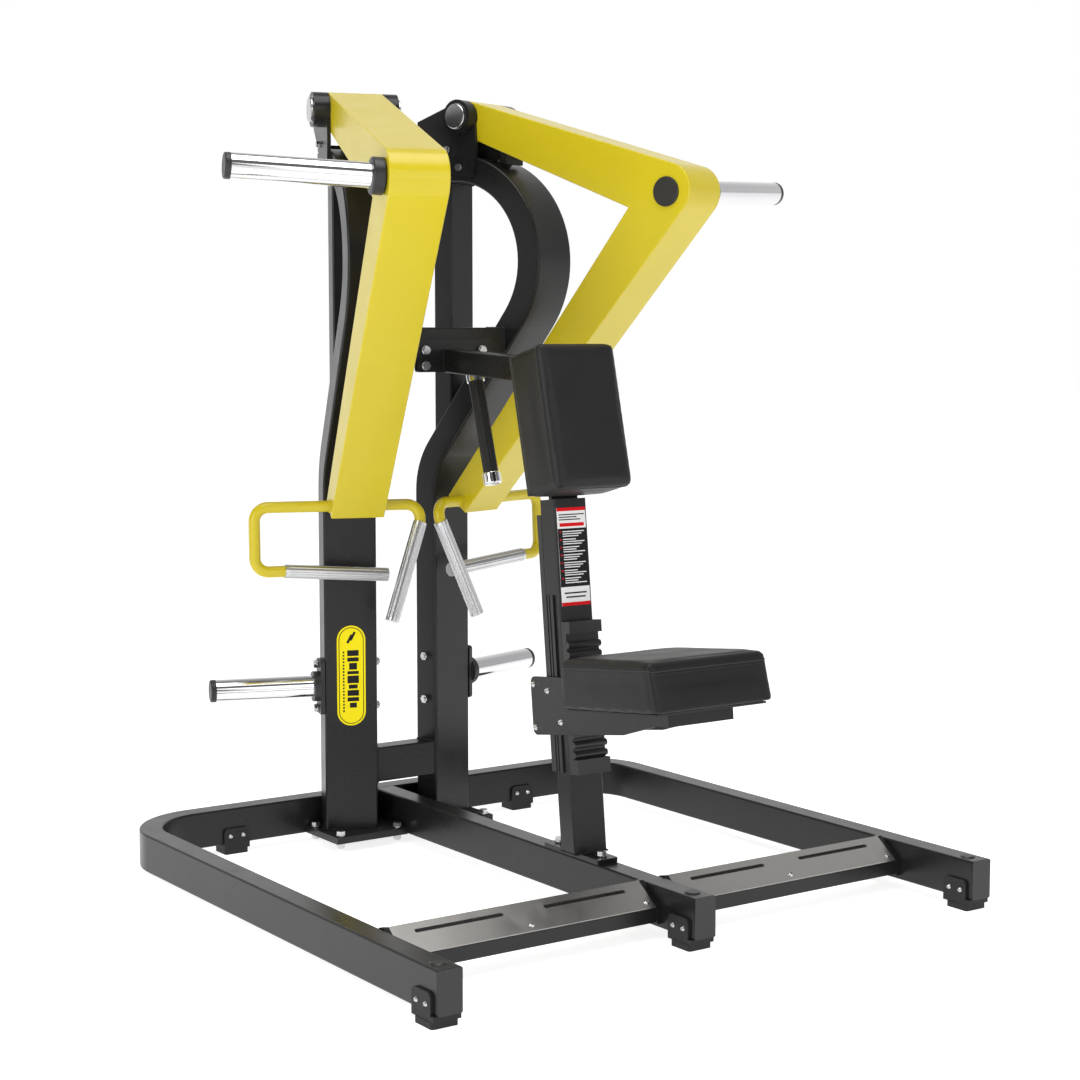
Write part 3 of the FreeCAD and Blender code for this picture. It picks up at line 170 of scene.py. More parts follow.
def new_group(name: str, inputs: dict[str, str], outputs: dict[str, str]) -> bpy.types.NodeTree:
    """Start a shader node group.

    Args:
        name: The group's name.
        inputs: Input names and socket types.
        outputs: Output names and socket types.

    Returns:
        The empty tree with its sockets.
    """
    tree = bpy.data.node_groups.new(name, "ShaderNodeTree")
    for key, kind in inputs.items():
        tree.interface.new_socket(name=key, in_out="INPUT", socket_type=kind)
    for key, kind in outputs.items():
        tree.interface.new_socket(name=key, in_out="OUTPUT", socket_type=kind)
    return tree


# ---- shared effects


class Effects:
    """Shader groups for the effects that several finishes share."""

    def __init__(self) -> None:
        """Build every group once."""
        self.grains: dict[Grain, bpy.types.NodeTree] = {kind: self._grain(kind) for kind in Grain}
        self.wear: bpy.types.NodeTree = self._edge_wear()
        self.dust: bpy.types.NodeTree = self._settled_dust()

    @staticmethod
    def _grain(kind: Grain) -> bpy.types.NodeTree:
        """Fine relief and a matching tint for one kind of surface."""
        tree = new_group(
            kind.value,
            {"Vector": "NodeSocketVector", "Scale": "NodeSocketFloat"},
            {"Height": "NodeSocketFloat", "Tint": "NodeSocketFloat"},
        )
        start = add(tree, "NodeGroupInput")
        end = add(tree, "NodeGroupOutput")
        vector, scale = start.outputs["Vector"], start.outputs["Scale"]
        if kind is Grain.PEBBLE:
            cells = add(tree, "ShaderNodeTexVoronoi", feature="DISTANCE_TO_EDGE")
            wire(tree, vector, cells.inputs["Vector"])
            wire(tree, scale, cells.inputs["Scale"])
            round_top = spread(tree, cells.outputs["Distance"], (0.0, 0.28), (0.0, 1.0))
            fold = noise(tree, vector, maths(tree, "MULTIPLY", scale, 0.18), 4.0)
            bumps = maths(tree, "MULTIPLY", round_top, 0.75)
            height = maths(tree, "ADD", bumps, maths(tree, "MULTIPLY", fold, 0.5))
        elif kind is Grain.BRUSHED:
            stretch = add(tree, "ShaderNodeVectorMath", operation="MULTIPLY")
            wire(tree, vector, stretch.inputs[0])
            stretch.inputs[1].default_value = (0.02, 1.0, 1.0)
            height = noise(tree, stretch.outputs[0], scale, 5.0)
        elif kind is Grain.MOULDED:
            height = noise(tree, vector, scale, 6.0)
        else:
            coarse = noise(tree, vector, maths(tree, "MULTIPLY", scale, 0.35), 2.0)
            fine = noise(tree, vector, scale, 2.0)
            broad = maths(tree, "MULTIPLY", coarse, 0.6)
            height = maths(tree, "ADD", broad, maths(tree, "MULTIPLY", fine, 0.4))
        wire(tree, height, end.inputs["Height"])
        wire(tree, noise(tree, vector, maths(tree, "MULTIPLY", scale, 0.02), 5.0), end.inputs["Tint"])
        return tree

    @staticmethod
    def _edge_wear() -> bpy.types.NodeTree:
        """A mask of the paint rubbed thin along edges, broken up by noise."""
        tree = new_group(
            "edge_wear",
            {"Vector": "NodeSocketVector", "Radius": "NodeSocketFloat", "Amount": "NodeSocketFloat"},
            {"Mask": "NodeSocketFloat"},
        )
        start = add(tree, "NodeGroupInput")
        end = add(tree, "NodeGroupOutput")
        bevel = add(tree, "ShaderNodeBevel", samples=4)
        wire(tree, start.outputs["Radius"], bevel.inputs["Radius"])
        geometry = add(tree, "ShaderNodeNewGeometry")
        dot = add(tree, "ShaderNodeVectorMath", operation="DOT_PRODUCT")
        wire(tree, bevel.outputs["Normal"], dot.inputs[0])
        wire(tree, geometry.outputs["Normal"], dot.inputs[1])
        edge = spread(tree, maths(tree, "SUBTRACT", 1.0, dot.outputs["Value"]), (0.02, 0.16), (0.0, 1.0))
        broken = spread(tree, noise(tree, start.outputs["Vector"], 55.0, 6.0), (0.48, 0.66), (0.0, 1.0))
        mask = maths(tree, "MULTIPLY", edge, broken)
        wire(tree, maths(tree, "MULTIPLY", mask, start.outputs["Amount"], clamp=True), end.inputs["Mask"])
        return tree

    @staticmethod
    def _settled_dust() -> bpy.types.NodeTree:
        """A mask of fine dust on faces that look up."""
        tree = new_group(
            "settled_dust",
            {"Vector": "NodeSocketVector", "Amount": "NodeSocketFloat"},
            {"Mask": "NodeSocketFloat"},
        )
        start = add(tree, "NodeGroupInput")
        end = add(tree, "NodeGroupOutput")
        geometry = add(tree, "ShaderNodeNewGeometry")
        parts = add(tree, "ShaderNodeSeparateXYZ")
        wire(tree, geometry.outputs["Normal"], parts.inputs[0])
        up = spread(tree, parts.outputs["Z"], (0.55, 1.0), (0.0, 1.0))
        drift = spread(tree, noise(tree, start.outputs["Vector"], 14.0, 7.0), (0.35, 0.75), (0.2, 1.0))
        mask = maths(tree, "MULTIPLY", up, drift)
        wire(tree, maths(tree, "MULTIPLY", mask, start.outputs["Amount"], clamp=True), end.inputs["Mask"])
        return tree


# ---- finishes


@dataclass(frozen=True)
class Finish:
    """One surface finish and the values of its shader.

    Attributes:
        name: The material's name.
        colour: Base colour.
        tint: Colour that the base drifts towards.
        roughness: Mean roughness.
        metallic: Metallic value.
        specular: Specular level.
        grain: Kind of fine relief.
        grain_scale: Scale of the relief.
        bump: Strength of the relief.
        relief: Height of the relief in metres.
        coat: Clear coat weight.
        wear: Strength of the worn edges.
        wear_colour: Colour under the worn edges.
        dust: Strength of the dust.
    """

    name: str
    colour: Colour
    tint: Colour
    roughness: float
    metallic: float = 0.0
    specular: float = 0.5
    grain: Grain = Grain.PEEL
    grain_scale: float = 700.0
    bump: float = 0.2
    relief: float = 0.0002
    coat: float = 0.0
    wear: float = 0.0
    wear_colour: Colour = (0.25, 0.25, 0.25)
    dust: float = 0.0

    def make(self, effects: Effects) -> bpy.types.Material:
        """Build the material.

        Args:
            effects: The shared shader groups.

        Returns:
            The finished material.
        """
        material = bpy.data.materials.new(self.name)
        material.use_nodes = True
        tree = material.node_tree
        shader = tree.nodes["Principled BSDF"]
        shader.inputs["Metallic"].default_value = self.metallic
        shader.inputs["Specular IOR Level"].default_value = self.specular
        shader.inputs["Coat Weight"].default_value = self.coat
        shader.inputs["Coat Roughness"].default_value = 0.12
        place = add(tree, "ShaderNodeTexCoord").outputs["Object"]
        grain = add(tree, "ShaderNodeGroup", node_tree=effects.grains[self.grain])
        wire(tree, place, grain.inputs["Vector"])
        grain.inputs["Scale"].default_value = self.grain_scale
        colour = mix_colour(tree, grain.outputs["Tint"], self.colour, self.tint)
        range_of_rough = (self.roughness * 0.88, self.roughness * 1.14)
        rough = spread(tree, grain.outputs["Tint"], (0.25, 0.75), range_of_rough)
        if self.wear:
            wear = add(tree, "ShaderNodeGroup", node_tree=effects.wear)
            wire(tree, place, wear.inputs["Vector"])
            wear.inputs["Radius"].default_value = 0.0012
            wear.inputs["Amount"].default_value = self.wear
            colour = mix_colour(tree, wear.outputs["Mask"], colour, self.wear_colour)
        if self.dust:
            dust = add(tree, "ShaderNodeGroup", node_tree=effects.dust)
            wire(tree, place, dust.inputs["Vector"])
            dust.inputs["Amount"].default_value = self.dust
            colour = mix_colour(tree, dust.outputs["Mask"], colour, (0.36, 0.34, 0.31))
            dulled = maths(tree, "MULTIPLY", dust.outputs["Mask"], 0.5)
            rough = maths(tree, "ADD", rough, dulled, clamp=True)
        wire(tree, colour, shader.inputs["Base Color"])
        wire(tree, rough, shader.inputs["Roughness"])
        bump = add(tree, "ShaderNodeBump")
        bump.inputs["Strength"].default_value = self.bump
        bump.inputs["Distance"].default_value = self.relief
        wire(tree, grain.outputs["Height"], bump.inputs["Height"])
        wire(tree, bump.outputs["Normal"], shader.inputs["Normal"])
        return material


BLACK_COAT = Finish(
    "black_powder_coat", (0.0085, 0.0085, 0.0092), (0.0135, 0.0135, 0.0142), 0.29,
    specular=0.33, grain_scale=900.0, bump=0.16, wear=0.22, wear_colour=(0.07, 0.07, 0.075), dust=0.05,
)
YELLOW_PAINT = Finish(
    "yellow_gloss_paint", (0.62, 0.50, 0.008), (0.57, 0.455, 0.006), 0.34,
    specular=0.4, grain_scale=420.0, bump=0.07, coat=0.25,
    wear=0.3, wear_colour=(0.45, 0.37, 0.03), dust=0.03,
)
CHROME = Finish(
    "polished_chrome", (0.80, 0.80, 0.81), (0.70, 0.70, 0.72), 0.07,
    metallic=1.0, grain=Grain.BRUSHED, grain_scale=260.0, bump=0.02, relief=0.0001,
)
TURNED_STEEL = Finish(
    "turned_steel", (0.62, 0.62, 0.63), (0.45, 0.45, 0.46), 0.24,
    metallic=1.0, grain=Grain.MOULDED, grain_scale=500.0, bump=0.08, relief=0.0001,
)
ZINC = Finish(
    "zinc_plate", (0.66, 0.67, 0.69), (0.50, 0.50, 0.50), 0.27,
    metallic=1.0, grain=Grain.MOULDED, grain_scale=700.0, bump=0.1, relief=0.0001,
)
GRIP_ALUMINIUM = Finish(
    "satin_aluminium", (0.66, 0.66, 0.67), (0.56, 0.56, 0.57), 0.30,
    metallic=1.0, grain=Grain.BRUSHED, grain_scale=900.0, bump=0.12, relief=0.0001, wear=0.2,
    wear_colour=(0.8, 0.8, 0.8),
)
TREAD_STEEL = Finish(
    "brushed_tread", (0.76, 0.74, 0.71), (0.60, 0.58, 0.56), 0.30,
    metallic=1.0, grain=Grain.BRUSHED, grain_scale=1400.0, bump=0.22, relief=0.0001, dust=0.12,
)
VINYL = Finish(
    "grained_vinyl", (0.0075, 0.0075, 0.0078), (0.0105, 0.0105, 0.011), 0.45,
    specular=0.32, grain=Grain.PEBBLE, grain_scale=620.0, bump=0.3, relief=0.00025, dust=0.03,
)
PIPING = Finish(
    "seam_piping", (0.014, 0.014, 0.0145), (0.02, 0.02, 0.02), 0.5,
    grain=Grain.PEBBLE, grain_scale=1500.0, bump=0.2, relief=0.0001,
)
THREAD = Finish(
    "black_thread", (0.03, 0.03, 0.031), (0.05, 0.05, 0.05), 0.7,
    grain=Grain.BRUSHED, grain_scale=3000.0, bump=0.3, relief=0.0001,
)
BOARD = Finish(
    "painted_board", (0.016, 0.015, 0.014), (0.028, 0.026, 0.024), 0.65,
    grain=Grain.BRUSHED, grain_scale=200.0, bump=0.3, relief=0.0003,
)
RUBBER = Finish(
    "matt_rubber", (0.0085, 0.0085, 0.009), (0.016, 0.016, 0.016), 0.58,
    specular=0.35, grain=Grain.MOULDED, grain_scale=800.0, bump=0.25, dust=0.1,
)
PLASTIC = Finish(
    "moulded_plastic", (0.010, 0.010, 0.011), (0.017, 0.017, 0.018), 0.40,
    grain=Grain.MOULDED, grain_scale=1300.0, bump=0.22,
    wear=0.15, wear_colour=(0.05, 0.05, 0.05), dust=0.05,
)
BADGE_YELLOW = Finish(
    "badge_yellow", (0.98, 0.82, 0.008), (0.94, 0.78, 0.007), 0.4,
    specular=0.15, grain=Grain.MOULDED, grain_scale=300.0, bump=0.03,
)
PRINT_WHITE = Finish(
    "print_white", (0.95, 0.95, 0.94), (0.9, 0.9, 0.89), 0.38,
    specular=0.2, grain=Grain.MOULDED, grain_scale=300.0, bump=0.04,
)
PRINT_BLACK = Finish(
    "print_black", (0.006, 0.006, 0.006), (0.01, 0.01, 0.01), 0.35,
    specular=0.2, grain=Grain.MOULDED, grain_scale=300.0, bump=0.04,
)
PRINT_RED = Finish(
    "print_red", (0.78, 0.006, 0.012), (0.7, 0.006, 0.012), 0.36,
    specular=0.12, grain=Grain.MOULDED, grain_scale=300.0, bump=0.04,
)

NODE_FINISHES: dict[str, Finish] = {
    "yellow_paint": YELLOW_PAINT,
    "black_frame": BLACK_COAT,
    "chrome": CHROME,
    "turned_steel": TURNED_STEEL,
    "zinc_bolts": ZINC,
    "aluminium_grip": GRIP_ALUMINIUM,
    "stainless_tread": TREAD_STEEL,
    "black_vinyl": VINYL,
    "board": BOARD,
    "black_rubber": RUBBER,
    "black_plastic": PLASTIC,
    "badge_face": BADGE_YELLOW,
    "placard_face": PRINT_WHITE,
}


class Paints:
    """Makes each finish once and hands it out."""

    def __init__(self) -> None:
        """Build the shared effects."""
        self.effects = Effects()
        self.made: dict[str, bpy.types.Material] = {}

    def of(self, finish: Finish) -> bpy.types.Material:
        """The material of a finish, made on first use."""
        if finish.name not in self.made:
            self.made[finish.name] = finish.make(self.effects)
        return self.made[finish.name]

    def dress_frame(self) -> None:
        """Give every CAD node the finish of its slot."""
        slots = {part["node"]: part["material_slot"] for part in frame["record"]["subparts"]}
        for name, obj in frame["nodes"].items():
            material = self.of(NODE_FINISHES[slots[name]])
            if not obj.material_slots:
                obj.data.materials.append(material)
            for holder in obj.material_slots:
                holder.material = material


# ---- places on the machine


@dataclass(frozen=True)
class LeaningFrame:
    """A frame turned back about X: x across, y towards the uprights, z up along the lean.

    Attributes:
        origin: Where the frame's origin stands, in metres.
        tilt: The lean in degrees.
    """

    origin: tuple[float, float, float]
    tilt: float

    @property
    def matrix(self) -> Matrix:
        """From this frame to the machine."""
        return Matrix.Translation(self.origin) @ Matrix.Rotation(math.radians(-self.tilt), 4, "X")

    def local_box(self, node: str) -> tuple[Vector, Vector]:
        """Lowest and highest corner of a CAD node in this frame."""
        inverse = self.matrix.inverted()
        points = [inverse @ vertex.co for vertex in frame["nodes"][node].data.vertices]
        low = Vector([min(point[axis] for point in points) for axis in range(3)])
        high = Vector([max(point[axis] for point in points) for axis in range(3)])
        return low, high


@dataclass(frozen=True)
class SideFrame:
    """The yawed frame of one upright: s forward, q outward, z up.

    Attributes:
        side: 1 for the right and -1 for the left.
    """

    side: int
    yaw: float = 18.0
    x: float = 0.1257
    y: float = 0.5565

    def at(self, s: float, q: float, z: float) -> Vector:
        """A point given in millimetres, in the machine's metres."""
        turn = math.radians(self.yaw)
        across = self.x + (s * math.sin(turn) + q * math.cos(turn)) * MM
        along = self.y + (-s * math.cos(turn) + q * math.sin(turn)) * MM
        return Vector((self.side * across, along, z * MM))

    @property
    def front(self) -> Matrix:
        """A frame on the column's front: x across to the viewer's right, y up, z out of the face."""
        out = self.at(1, 0, 0) - self.at(0, 0, 0)
        up = Vector((0, 0, 1))
        out.normalize()
        right = up.cross(out)
        matrix = Matrix((right, up, out)).transposed().to_4x4()
        return Matrix.Translation(self.at(0, 0, 0)) @ matrix


POST = LeaningFrame((0.0, -0.176, 0.112), 6.1)
PAD = LeaningFrame((0.0, -0.107, 0.823), 13.7)
SIDES: dict[str, SideFrame] = {"left": SideFrame(-1), "right": SideFrame(1)}


# ---- mesh helpers


def new_piece(name: str, mesh: bpy.types.Mesh) -> bpy.types.Object:
    """Link a mesh to the scene as a piece at the origin."""
    piece = bpy.data.objects.new(name, mesh)
    bpy.context.scene.collection.objects.link(piece)
    return piece


def settle(piece: bpy.types.Object, body: str) -> bpy.types.Object:
    """Let a finished piece ride on its body."""
    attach(piece, body)
    log.info("piece %s rides on %s with %d faces", piece.name, body, len(piece.data.polygons))
    return piece


def plain_mesh(piece: bpy.types.Object) -> bpy.types.Mesh:
    """The evaluated mesh of an object, as a mesh of its own."""
    graph = bpy.context.evaluated_depsgraph_get()
    return bpy.data.meshes.new_from_object(piece.evaluated_get(graph))


def edge_mesh(paths: list[list[Vector]]) -> bpy.types.Mesh:
    """A mesh of edges only, one chain for each path."""
    points: list[Vector] = []
    edges: list[tuple[int, int]] = []
    for path in paths:
        start = len(points)
        points.extend(path)
        edges.extend((start + k, start + k + 1) for k in range(len(path) - 1))
    mesh = bpy.data.meshes.new("paths")
    mesh.from_pydata(points, edges, [])
    return mesh


def box_faces(low: Vector, high: Vector, matrix: Matrix, target: bmesh.types.BMesh) -> None:
    """Add a closed box, given in a local frame, to a bmesh."""
    size = high - low
    place = matrix @ Matrix.Translation((low + high) / 2) @ Matrix.Diagonal((*size, 1.0))
    bmesh.ops.create_cube(target, size=1.0, matrix=place)


def closed(target: bmesh.types.BMesh, name: str) -> bpy.types.Mesh:
    """Turn a bmesh into a mesh whose faces point outwards."""
    bmesh.ops.recalc_face_normals(target, faces=target.faces[:])
    mesh = bpy.data.meshes.new(name)
    target.to_mesh(mesh)
    target.free()
    return mesh


# ---- geometry nodes


class BeadRow:
    """A Geometry Nodes tree that lays one small shape after another along paths."""

    def __init__(self) -> None:
        """Build the tree."""
        tree = bpy.data.node_groups.new("bead_row", "GeometryNodeTree")
        for name, kind in (
            ("Paths", "NodeSocketGeometry"),
            ("Pitch", "NodeSocketFloat"),
            ("Bead Size", "NodeSocketVector"),
            ("Unevenness", "NodeSocketFloat"),
            ("Seed", "NodeSocketInt"),
            ("Finish", "NodeSocketMaterial"),
        ):
            tree.interface.new_socket(name=name, in_out="INPUT", socket_type=kind)
        tree.interface.new_socket(name="Beads", in_out="OUTPUT", socket_type="NodeSocketGeometry")
        start = add(tree, "NodeGroupInput")
        end = add(tree, "NodeGroupOutput")
        curve = add(tree, "GeometryNodeMeshToCurve")
        points = add(tree, "GeometryNodeCurveToPoints", mode="LENGTH")
        ball = add(tree, "GeometryNodeMeshUVSphere")
        ball.inputs["Segments"].default_value = 8
        ball.inputs["Rings"].default_value = 5
        ball.inputs["Radius"].default_value = 1.0
        vary = add(tree, "FunctionNodeRandomValue", data_type="FLOAT")
        lowest = add(tree, "ShaderNodeMath", operation="SUBTRACT")
        lowest.inputs[0].default_value = 1.0
        scale = add(tree, "ShaderNodeVectorMath", operation="SCALE")
        place = add(tree, "GeometryNodeInstanceOnPoints")
        real = add(tree, "GeometryNodeRealizeInstances")
        smooth = add(tree, "GeometryNodeSetShadeSmooth")
        paint = add(tree, "GeometryNodeSetMaterial")
        wire(tree, start.outputs["Paths"], curve.inputs["Mesh"])
        wire(tree, curve.outputs["Curve"], points.inputs["Curve"])
        wire(tree, start.outputs["Pitch"], points.inputs["Length"])
        wire(tree, start.outputs["Unevenness"], lowest.inputs[1])
        wire(tree, lowest.outputs[0], vary.inputs[2])
        vary.inputs[3].default_value = 1.0
        wire(tree, start.outputs["Seed"], vary.inputs["Seed"])
        wire(tree, start.outputs["Bead Size"], scale.inputs[0])
        wire(tree, vary.outputs[1], scale.inputs["Scale"])
        wire(tree, points.outputs["Points"], place.inputs["Points"])
        wire(tree, ball.outputs["Mesh"], place.inputs["Instance"])
        wire(tree, points.outputs["Rotation"], place.inputs["Rotation"])
        wire(tree, scale.outputs[0], place.inputs["Scale"])
        wire(tree, place.outputs["Instances"], real.inputs["Geometry"])
        wire(tree, real.outputs["Geometry"], smooth.inputs["Geometry"])
        wire(tree, smooth.outputs["Geometry"], paint.inputs["Geometry"])
        wire(tree, start.outputs["Finish"], paint.inputs["Material"])
        wire(tree, paint.outputs["Geometry"], end.inputs["Beads"])
        self.tree = tree

    def lay(
        self, name: str, paths: list[list[Vector]], pitch: float, size: Triple, unevenness: float,
        material: bpy.types.Material,
    ) -> bpy.types.Object:
        """Lay beads along paths and return them as a plain mesh piece.

        Args:
            name: The piece's name.
            paths: Chains of points, in metres.
            pitch: Distance between beads.
            size: Half sizes across, up and along the path.
            unevenness: Share by which a bead may be smaller.
            material: The beads' material.

        Returns:
            The finished piece.
        """
        piece = new_piece(name, edge_mesh(paths))
        modifier = piece.modifiers.new("beads", "NODES")
        values = {"Pitch": pitch, "Bead Size": size, "Unevenness": unevenness}
        values |= {"Seed": 7, "Finish": material}
        for item in self.tree.interface.items_tree:
            if item.name in values:
                values[item.identifier] = values.pop(item.name)
        modifier.node_group = self.tree
        for identifier, value in values.items():
            modifier[identifier] = value
        mesh = plain_mesh(piece)
        piece.modifiers.clear()
        piece.data = mesh
        return piece


# ---- upholstery


@dataclass
class Upholstery:
    """A foam pad in vinyl, swollen from its plain CAD solid.

    Attributes:
        node: The CAD node that it stands for.
        body: The body that it rides on.
        place: The frame that the pad is square in.
        flat_axis: The local axis across the board.
        flat_sign: 1 when the board is at the axis's high end, -1 at the low end.
        shrink: How far the start shape is inside the CAD solid.
        swell: The largest swelling in metres.
        evening: How many times the swelling is averaged.
        seam_drop: How far the seam lies behind the front edge.
        seam_inset: How far the seam's corners are cut in.
        welt_radius: Radius of the welt.
        stitch_gap: Distance from the welt to the stitches.
        stitch_pitch: Distance between stitches.
        stitch: Half sizes of one stitch.
        fill: How tight the pad is; not used.
        paints: The finishes.
        beads: The tree that lays the stitches.
    """

    node: str
    body: str
    place: LeaningFrame
    flat_axis: int
    flat_sign: int
    shrink: float = 0.0015
    swell: float = 0.003
    evening: int = 140
    seam_drop: float = 0.017
    seam_inset: float = 0.004
    welt_radius: float = 0.0013
    stitch_gap: float = 0.006
    stitch_pitch: float = 0.0055
    stitch: Triple = (0.0005, 0.0005, 0.0019)
    fill: float = 0.8
    paints: Paints = field(default_factory=Paints)
    beads: BeadRow | None = None

    def start_mesh(self) -> bpy.types.Object:
        """The CAD solid, a little smaller, with its doubles merged."""
        source = frame["nodes"][self.node].data.copy()
        low, high = self.place.local_box(self.node)
        centre, half = (low + high) / 2, (high - low) / 2
        inverse = self.place.matrix.inverted()
        scale = Vector([1 - self.shrink / half[axis] for axis in range(3)])
        loose = bmesh.new()
        loose.from_mesh(source)
        bmesh.ops.remove_doubles(loose, verts=loose.verts[:], dist=0.00002)
        for vertex in loose.verts:
            point = inverse @ vertex.co
            point = centre + Vector([(point[axis] - centre[axis]) * scale[axis] for axis in range(3)])
            vertex.co = self.place.matrix @ point
        loose.to_mesh(source)
        loose.free()
        piece = new_piece(self.node + "_upholstery", source)
        remesh = piece.modifiers.new("skin", "REMESH")
        remesh.mode = "VOXEL"
        remesh.voxel_size = 0.0055
        soften = piece.modifiers.new("soften", "SMOOTH")
        soften.factor = 0.5
        soften.iterations = 4
        mesh = plain_mesh(piece)
        piece.modifiers.clear()
        piece.data = mesh
        return piece

    def swell_up(self, piece: bpy.types.Object) -> None:
        """Blow the pad up as cloth, held on its board side, and cap how far it moves."""
        low, high = self.place.local_box(self.node)
        inverse = self.place.matrix.inverted()
        flat = (high if self.flat_sign > 0 else low)[self.flat_axis]
        rest = [vertex.co.copy() for vertex in piece.data.vertices]
        held = piece.vertex_groups.new(name="board_side")
        for index, point in enumerate(rest):
            if abs((inverse @ point)[self.flat_axis] - flat) < 0.012:
                held.add([index], 1.0, "REPLACE")
        cloth = piece.modifiers.new("swell", "CLOTH")
        cloth.settings.quality = 6
        cloth.settings.mass = 0.35
        cloth.settings.tension_stiffness = 18
        cloth.settings.compression_stiffness = 18
        cloth.settings.bending_stiffness = 2.0
        cloth.settings.use_pressure = True
        cloth.settings.uniform_pressure_force = 4.0
        cloth.settings.vertex_group_mass = "board_side"
        cloth.settings.effector_weights.gravity = 0.0
        cloth.point_cache.frame_start = 1
        cloth.point_cache.frame_end = 20
        scene = bpy.context.scene
        for step in range(1, 21):
            scene.frame_set(step)
        swollen = plain_mesh(piece)
        piece.modifiers.clear()
        start = np.array(rest)
        shift = np.array([vertex.co for vertex in swollen.vertices]) - start
        shift = self.evened(shift, np.array([edge.vertices[:] for edge in piece.data.edges]))
        outward = np.array([vertex.normal for vertex in piece.data.vertices])
        swelling = np.clip((shift * outward).sum(axis=1, keepdims=True), 0.0, self.swell)
        piece.data.vertices.foreach_set("co", (start + swelling * outward).ravel())
        scene.frame_set(1)
        bpy.data.meshes.remove(swollen)

    def evened(self, shift: np.ndarray, edges: np.ndarray) -> np.ndarray:
        """Average the swelling over neighbours, so that only broad, taut shapes stay.

        Args:
            shift: How far each vertex moved.
            edges: The vertex pairs of the mesh's edges.

        Returns:
            The smoothed movement.
        """
        ends = np.concatenate([edges[:, 0], edges[:, 1]])
        others = np.concatenate([edges[:, 1], edges[:, 0]])
        count = np.bincount(ends, minlength=len(shift))[:, None]
        for _ in range(self.evening):
            sums = [np.bincount(ends, shift[others, axis], len(shift)) for axis in range(3)]
            shift = 0.5 * shift + 0.5 * np.stack(sums, axis=1) / count
        return shift

    def seam_path(self, piece: bpy.types.Object, inset: float, drop: float) -> list[Vector]:
        """A closed path round the pad, pressed onto its surface.

        Args:
            piece: The swollen pad.
            inset: How far the path's corners are cut in.
            drop: Distance from the face opposite the board.

        Returns:
            Points on the surface, the first repeated at the end.
        """
        low, high = self.place.local_box(self.node)
        across = [axis for axis in range(3) if axis != self.flat_axis]
        level = low[self.flat_axis] + drop if self.flat_sign > 0 else high[self.flat_axis] - drop
        graph = bpy.context.evaluated_depsgraph_get()
        surface = BVHTree.FromObject(piece, graph)
        corners = []
        for centre_sign in ((-1, -1), (1, -1), (1, 1), (-1, 1)):
            point = Vector((0, 0, 0))
            point[self.flat_axis] = level
            for axis, sign in zip(across, centre_sign):
                point[axis] = (low[axis] if sign < 0 else high[axis]) - sign * inset
            corners.append(point)
        path = []
        for first, second in zip(corners, corners[1:] + corners[:1]):
            for step in range(40):
                point = self.place.matrix @ first.lerp(second, step / 40)
                found = surface.find_nearest(point)
                path.append(found[0])
        return path + path[:1]

    def piping(self, path: list[Vector], radius: float, name: str) -> bpy.types.Object:
        """A thin welt tube along a closed path.

        Args:
            path: Points on the pad, the first repeated at the end.
            radius: The tube's radius.
            name: The piece's name.

        Returns:
            The welt as a piece of plain mesh.
        """
        curve = bpy.data.curves.new(name, "CURVE")
        curve.dimensions = "3D"
        curve.bevel_depth = radius
        curve.bevel_resolution = 2
        line = curve.splines.new("POLY")
        line.points.add(len(path) - 2)
        for point, place in zip(line.points, path[:-1]):
            point.co = (*place, 1.0)
        line.use_cyclic_u = True
        holder = bpy.data.objects.new(name + "_line", curve)
        bpy.context.scene.collection.objects.link(holder)
        mesh = plain_mesh(holder)
        bpy.data.objects.remove(holder)
        mesh.materials.clear()
        mesh.materials.append(self.paints.of(PIPING))
        for face in mesh.polygons:
            face.use_smooth = True
        return new_piece(name, mesh)

    def build(self) -> None:
        """Make the pad, its welt and its stitches."""
        piece = self.start_mesh()
        self.swell_up(piece)
        finer = piece.modifiers.new("finer", "SUBSURF")
        finer.levels = 1
        finer.render_levels = 1
        mesh = plain_mesh(piece)
        piece.modifiers.clear()
        piece.data = mesh
        mesh.materials.clear()
        mesh.materials.append(self.paints.of(VINYL))
        for face in mesh.polygons:
            face.use_smooth = True
        path = self.seam_path(piece, self.seam_inset, self.seam_drop)
        welt = self.piping(path, self.welt_radius, self.node + "_welt")
        seam = self.seam_path(piece, self.seam_inset, self.seam_drop + self.stitch_gap)
        thread = self.paints.of(THREAD)
        name = self.node + "_stitches"
        stitches = self.beads.lay(name, [seam], self.stitch_pitch, self.stitch, 0.1, thread)
        settle(piece, self.body)
        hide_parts(self.node)
        settle(welt, self.body)
        settle(stitches, self.body)


# ---- welds


def rectangle(corners: list[Vector]) -> list[Vector]:
    """A closed chain through corners."""
    return corners + corners[:1]


def ring(centre: Vector, axis: Vector, radius: float, count: int = 24) -> list[Vector]:
    """A closed chain round an axis."""
    turn = axis.to_track_quat("Z", "Y")
    points = []
    for k in range(count + 1):
        angle = 2 * math.pi * k / count
        points.append(centre + turn @ Vector((radius * math.cos(angle), radius * math.sin(angle), 0)))
    return points


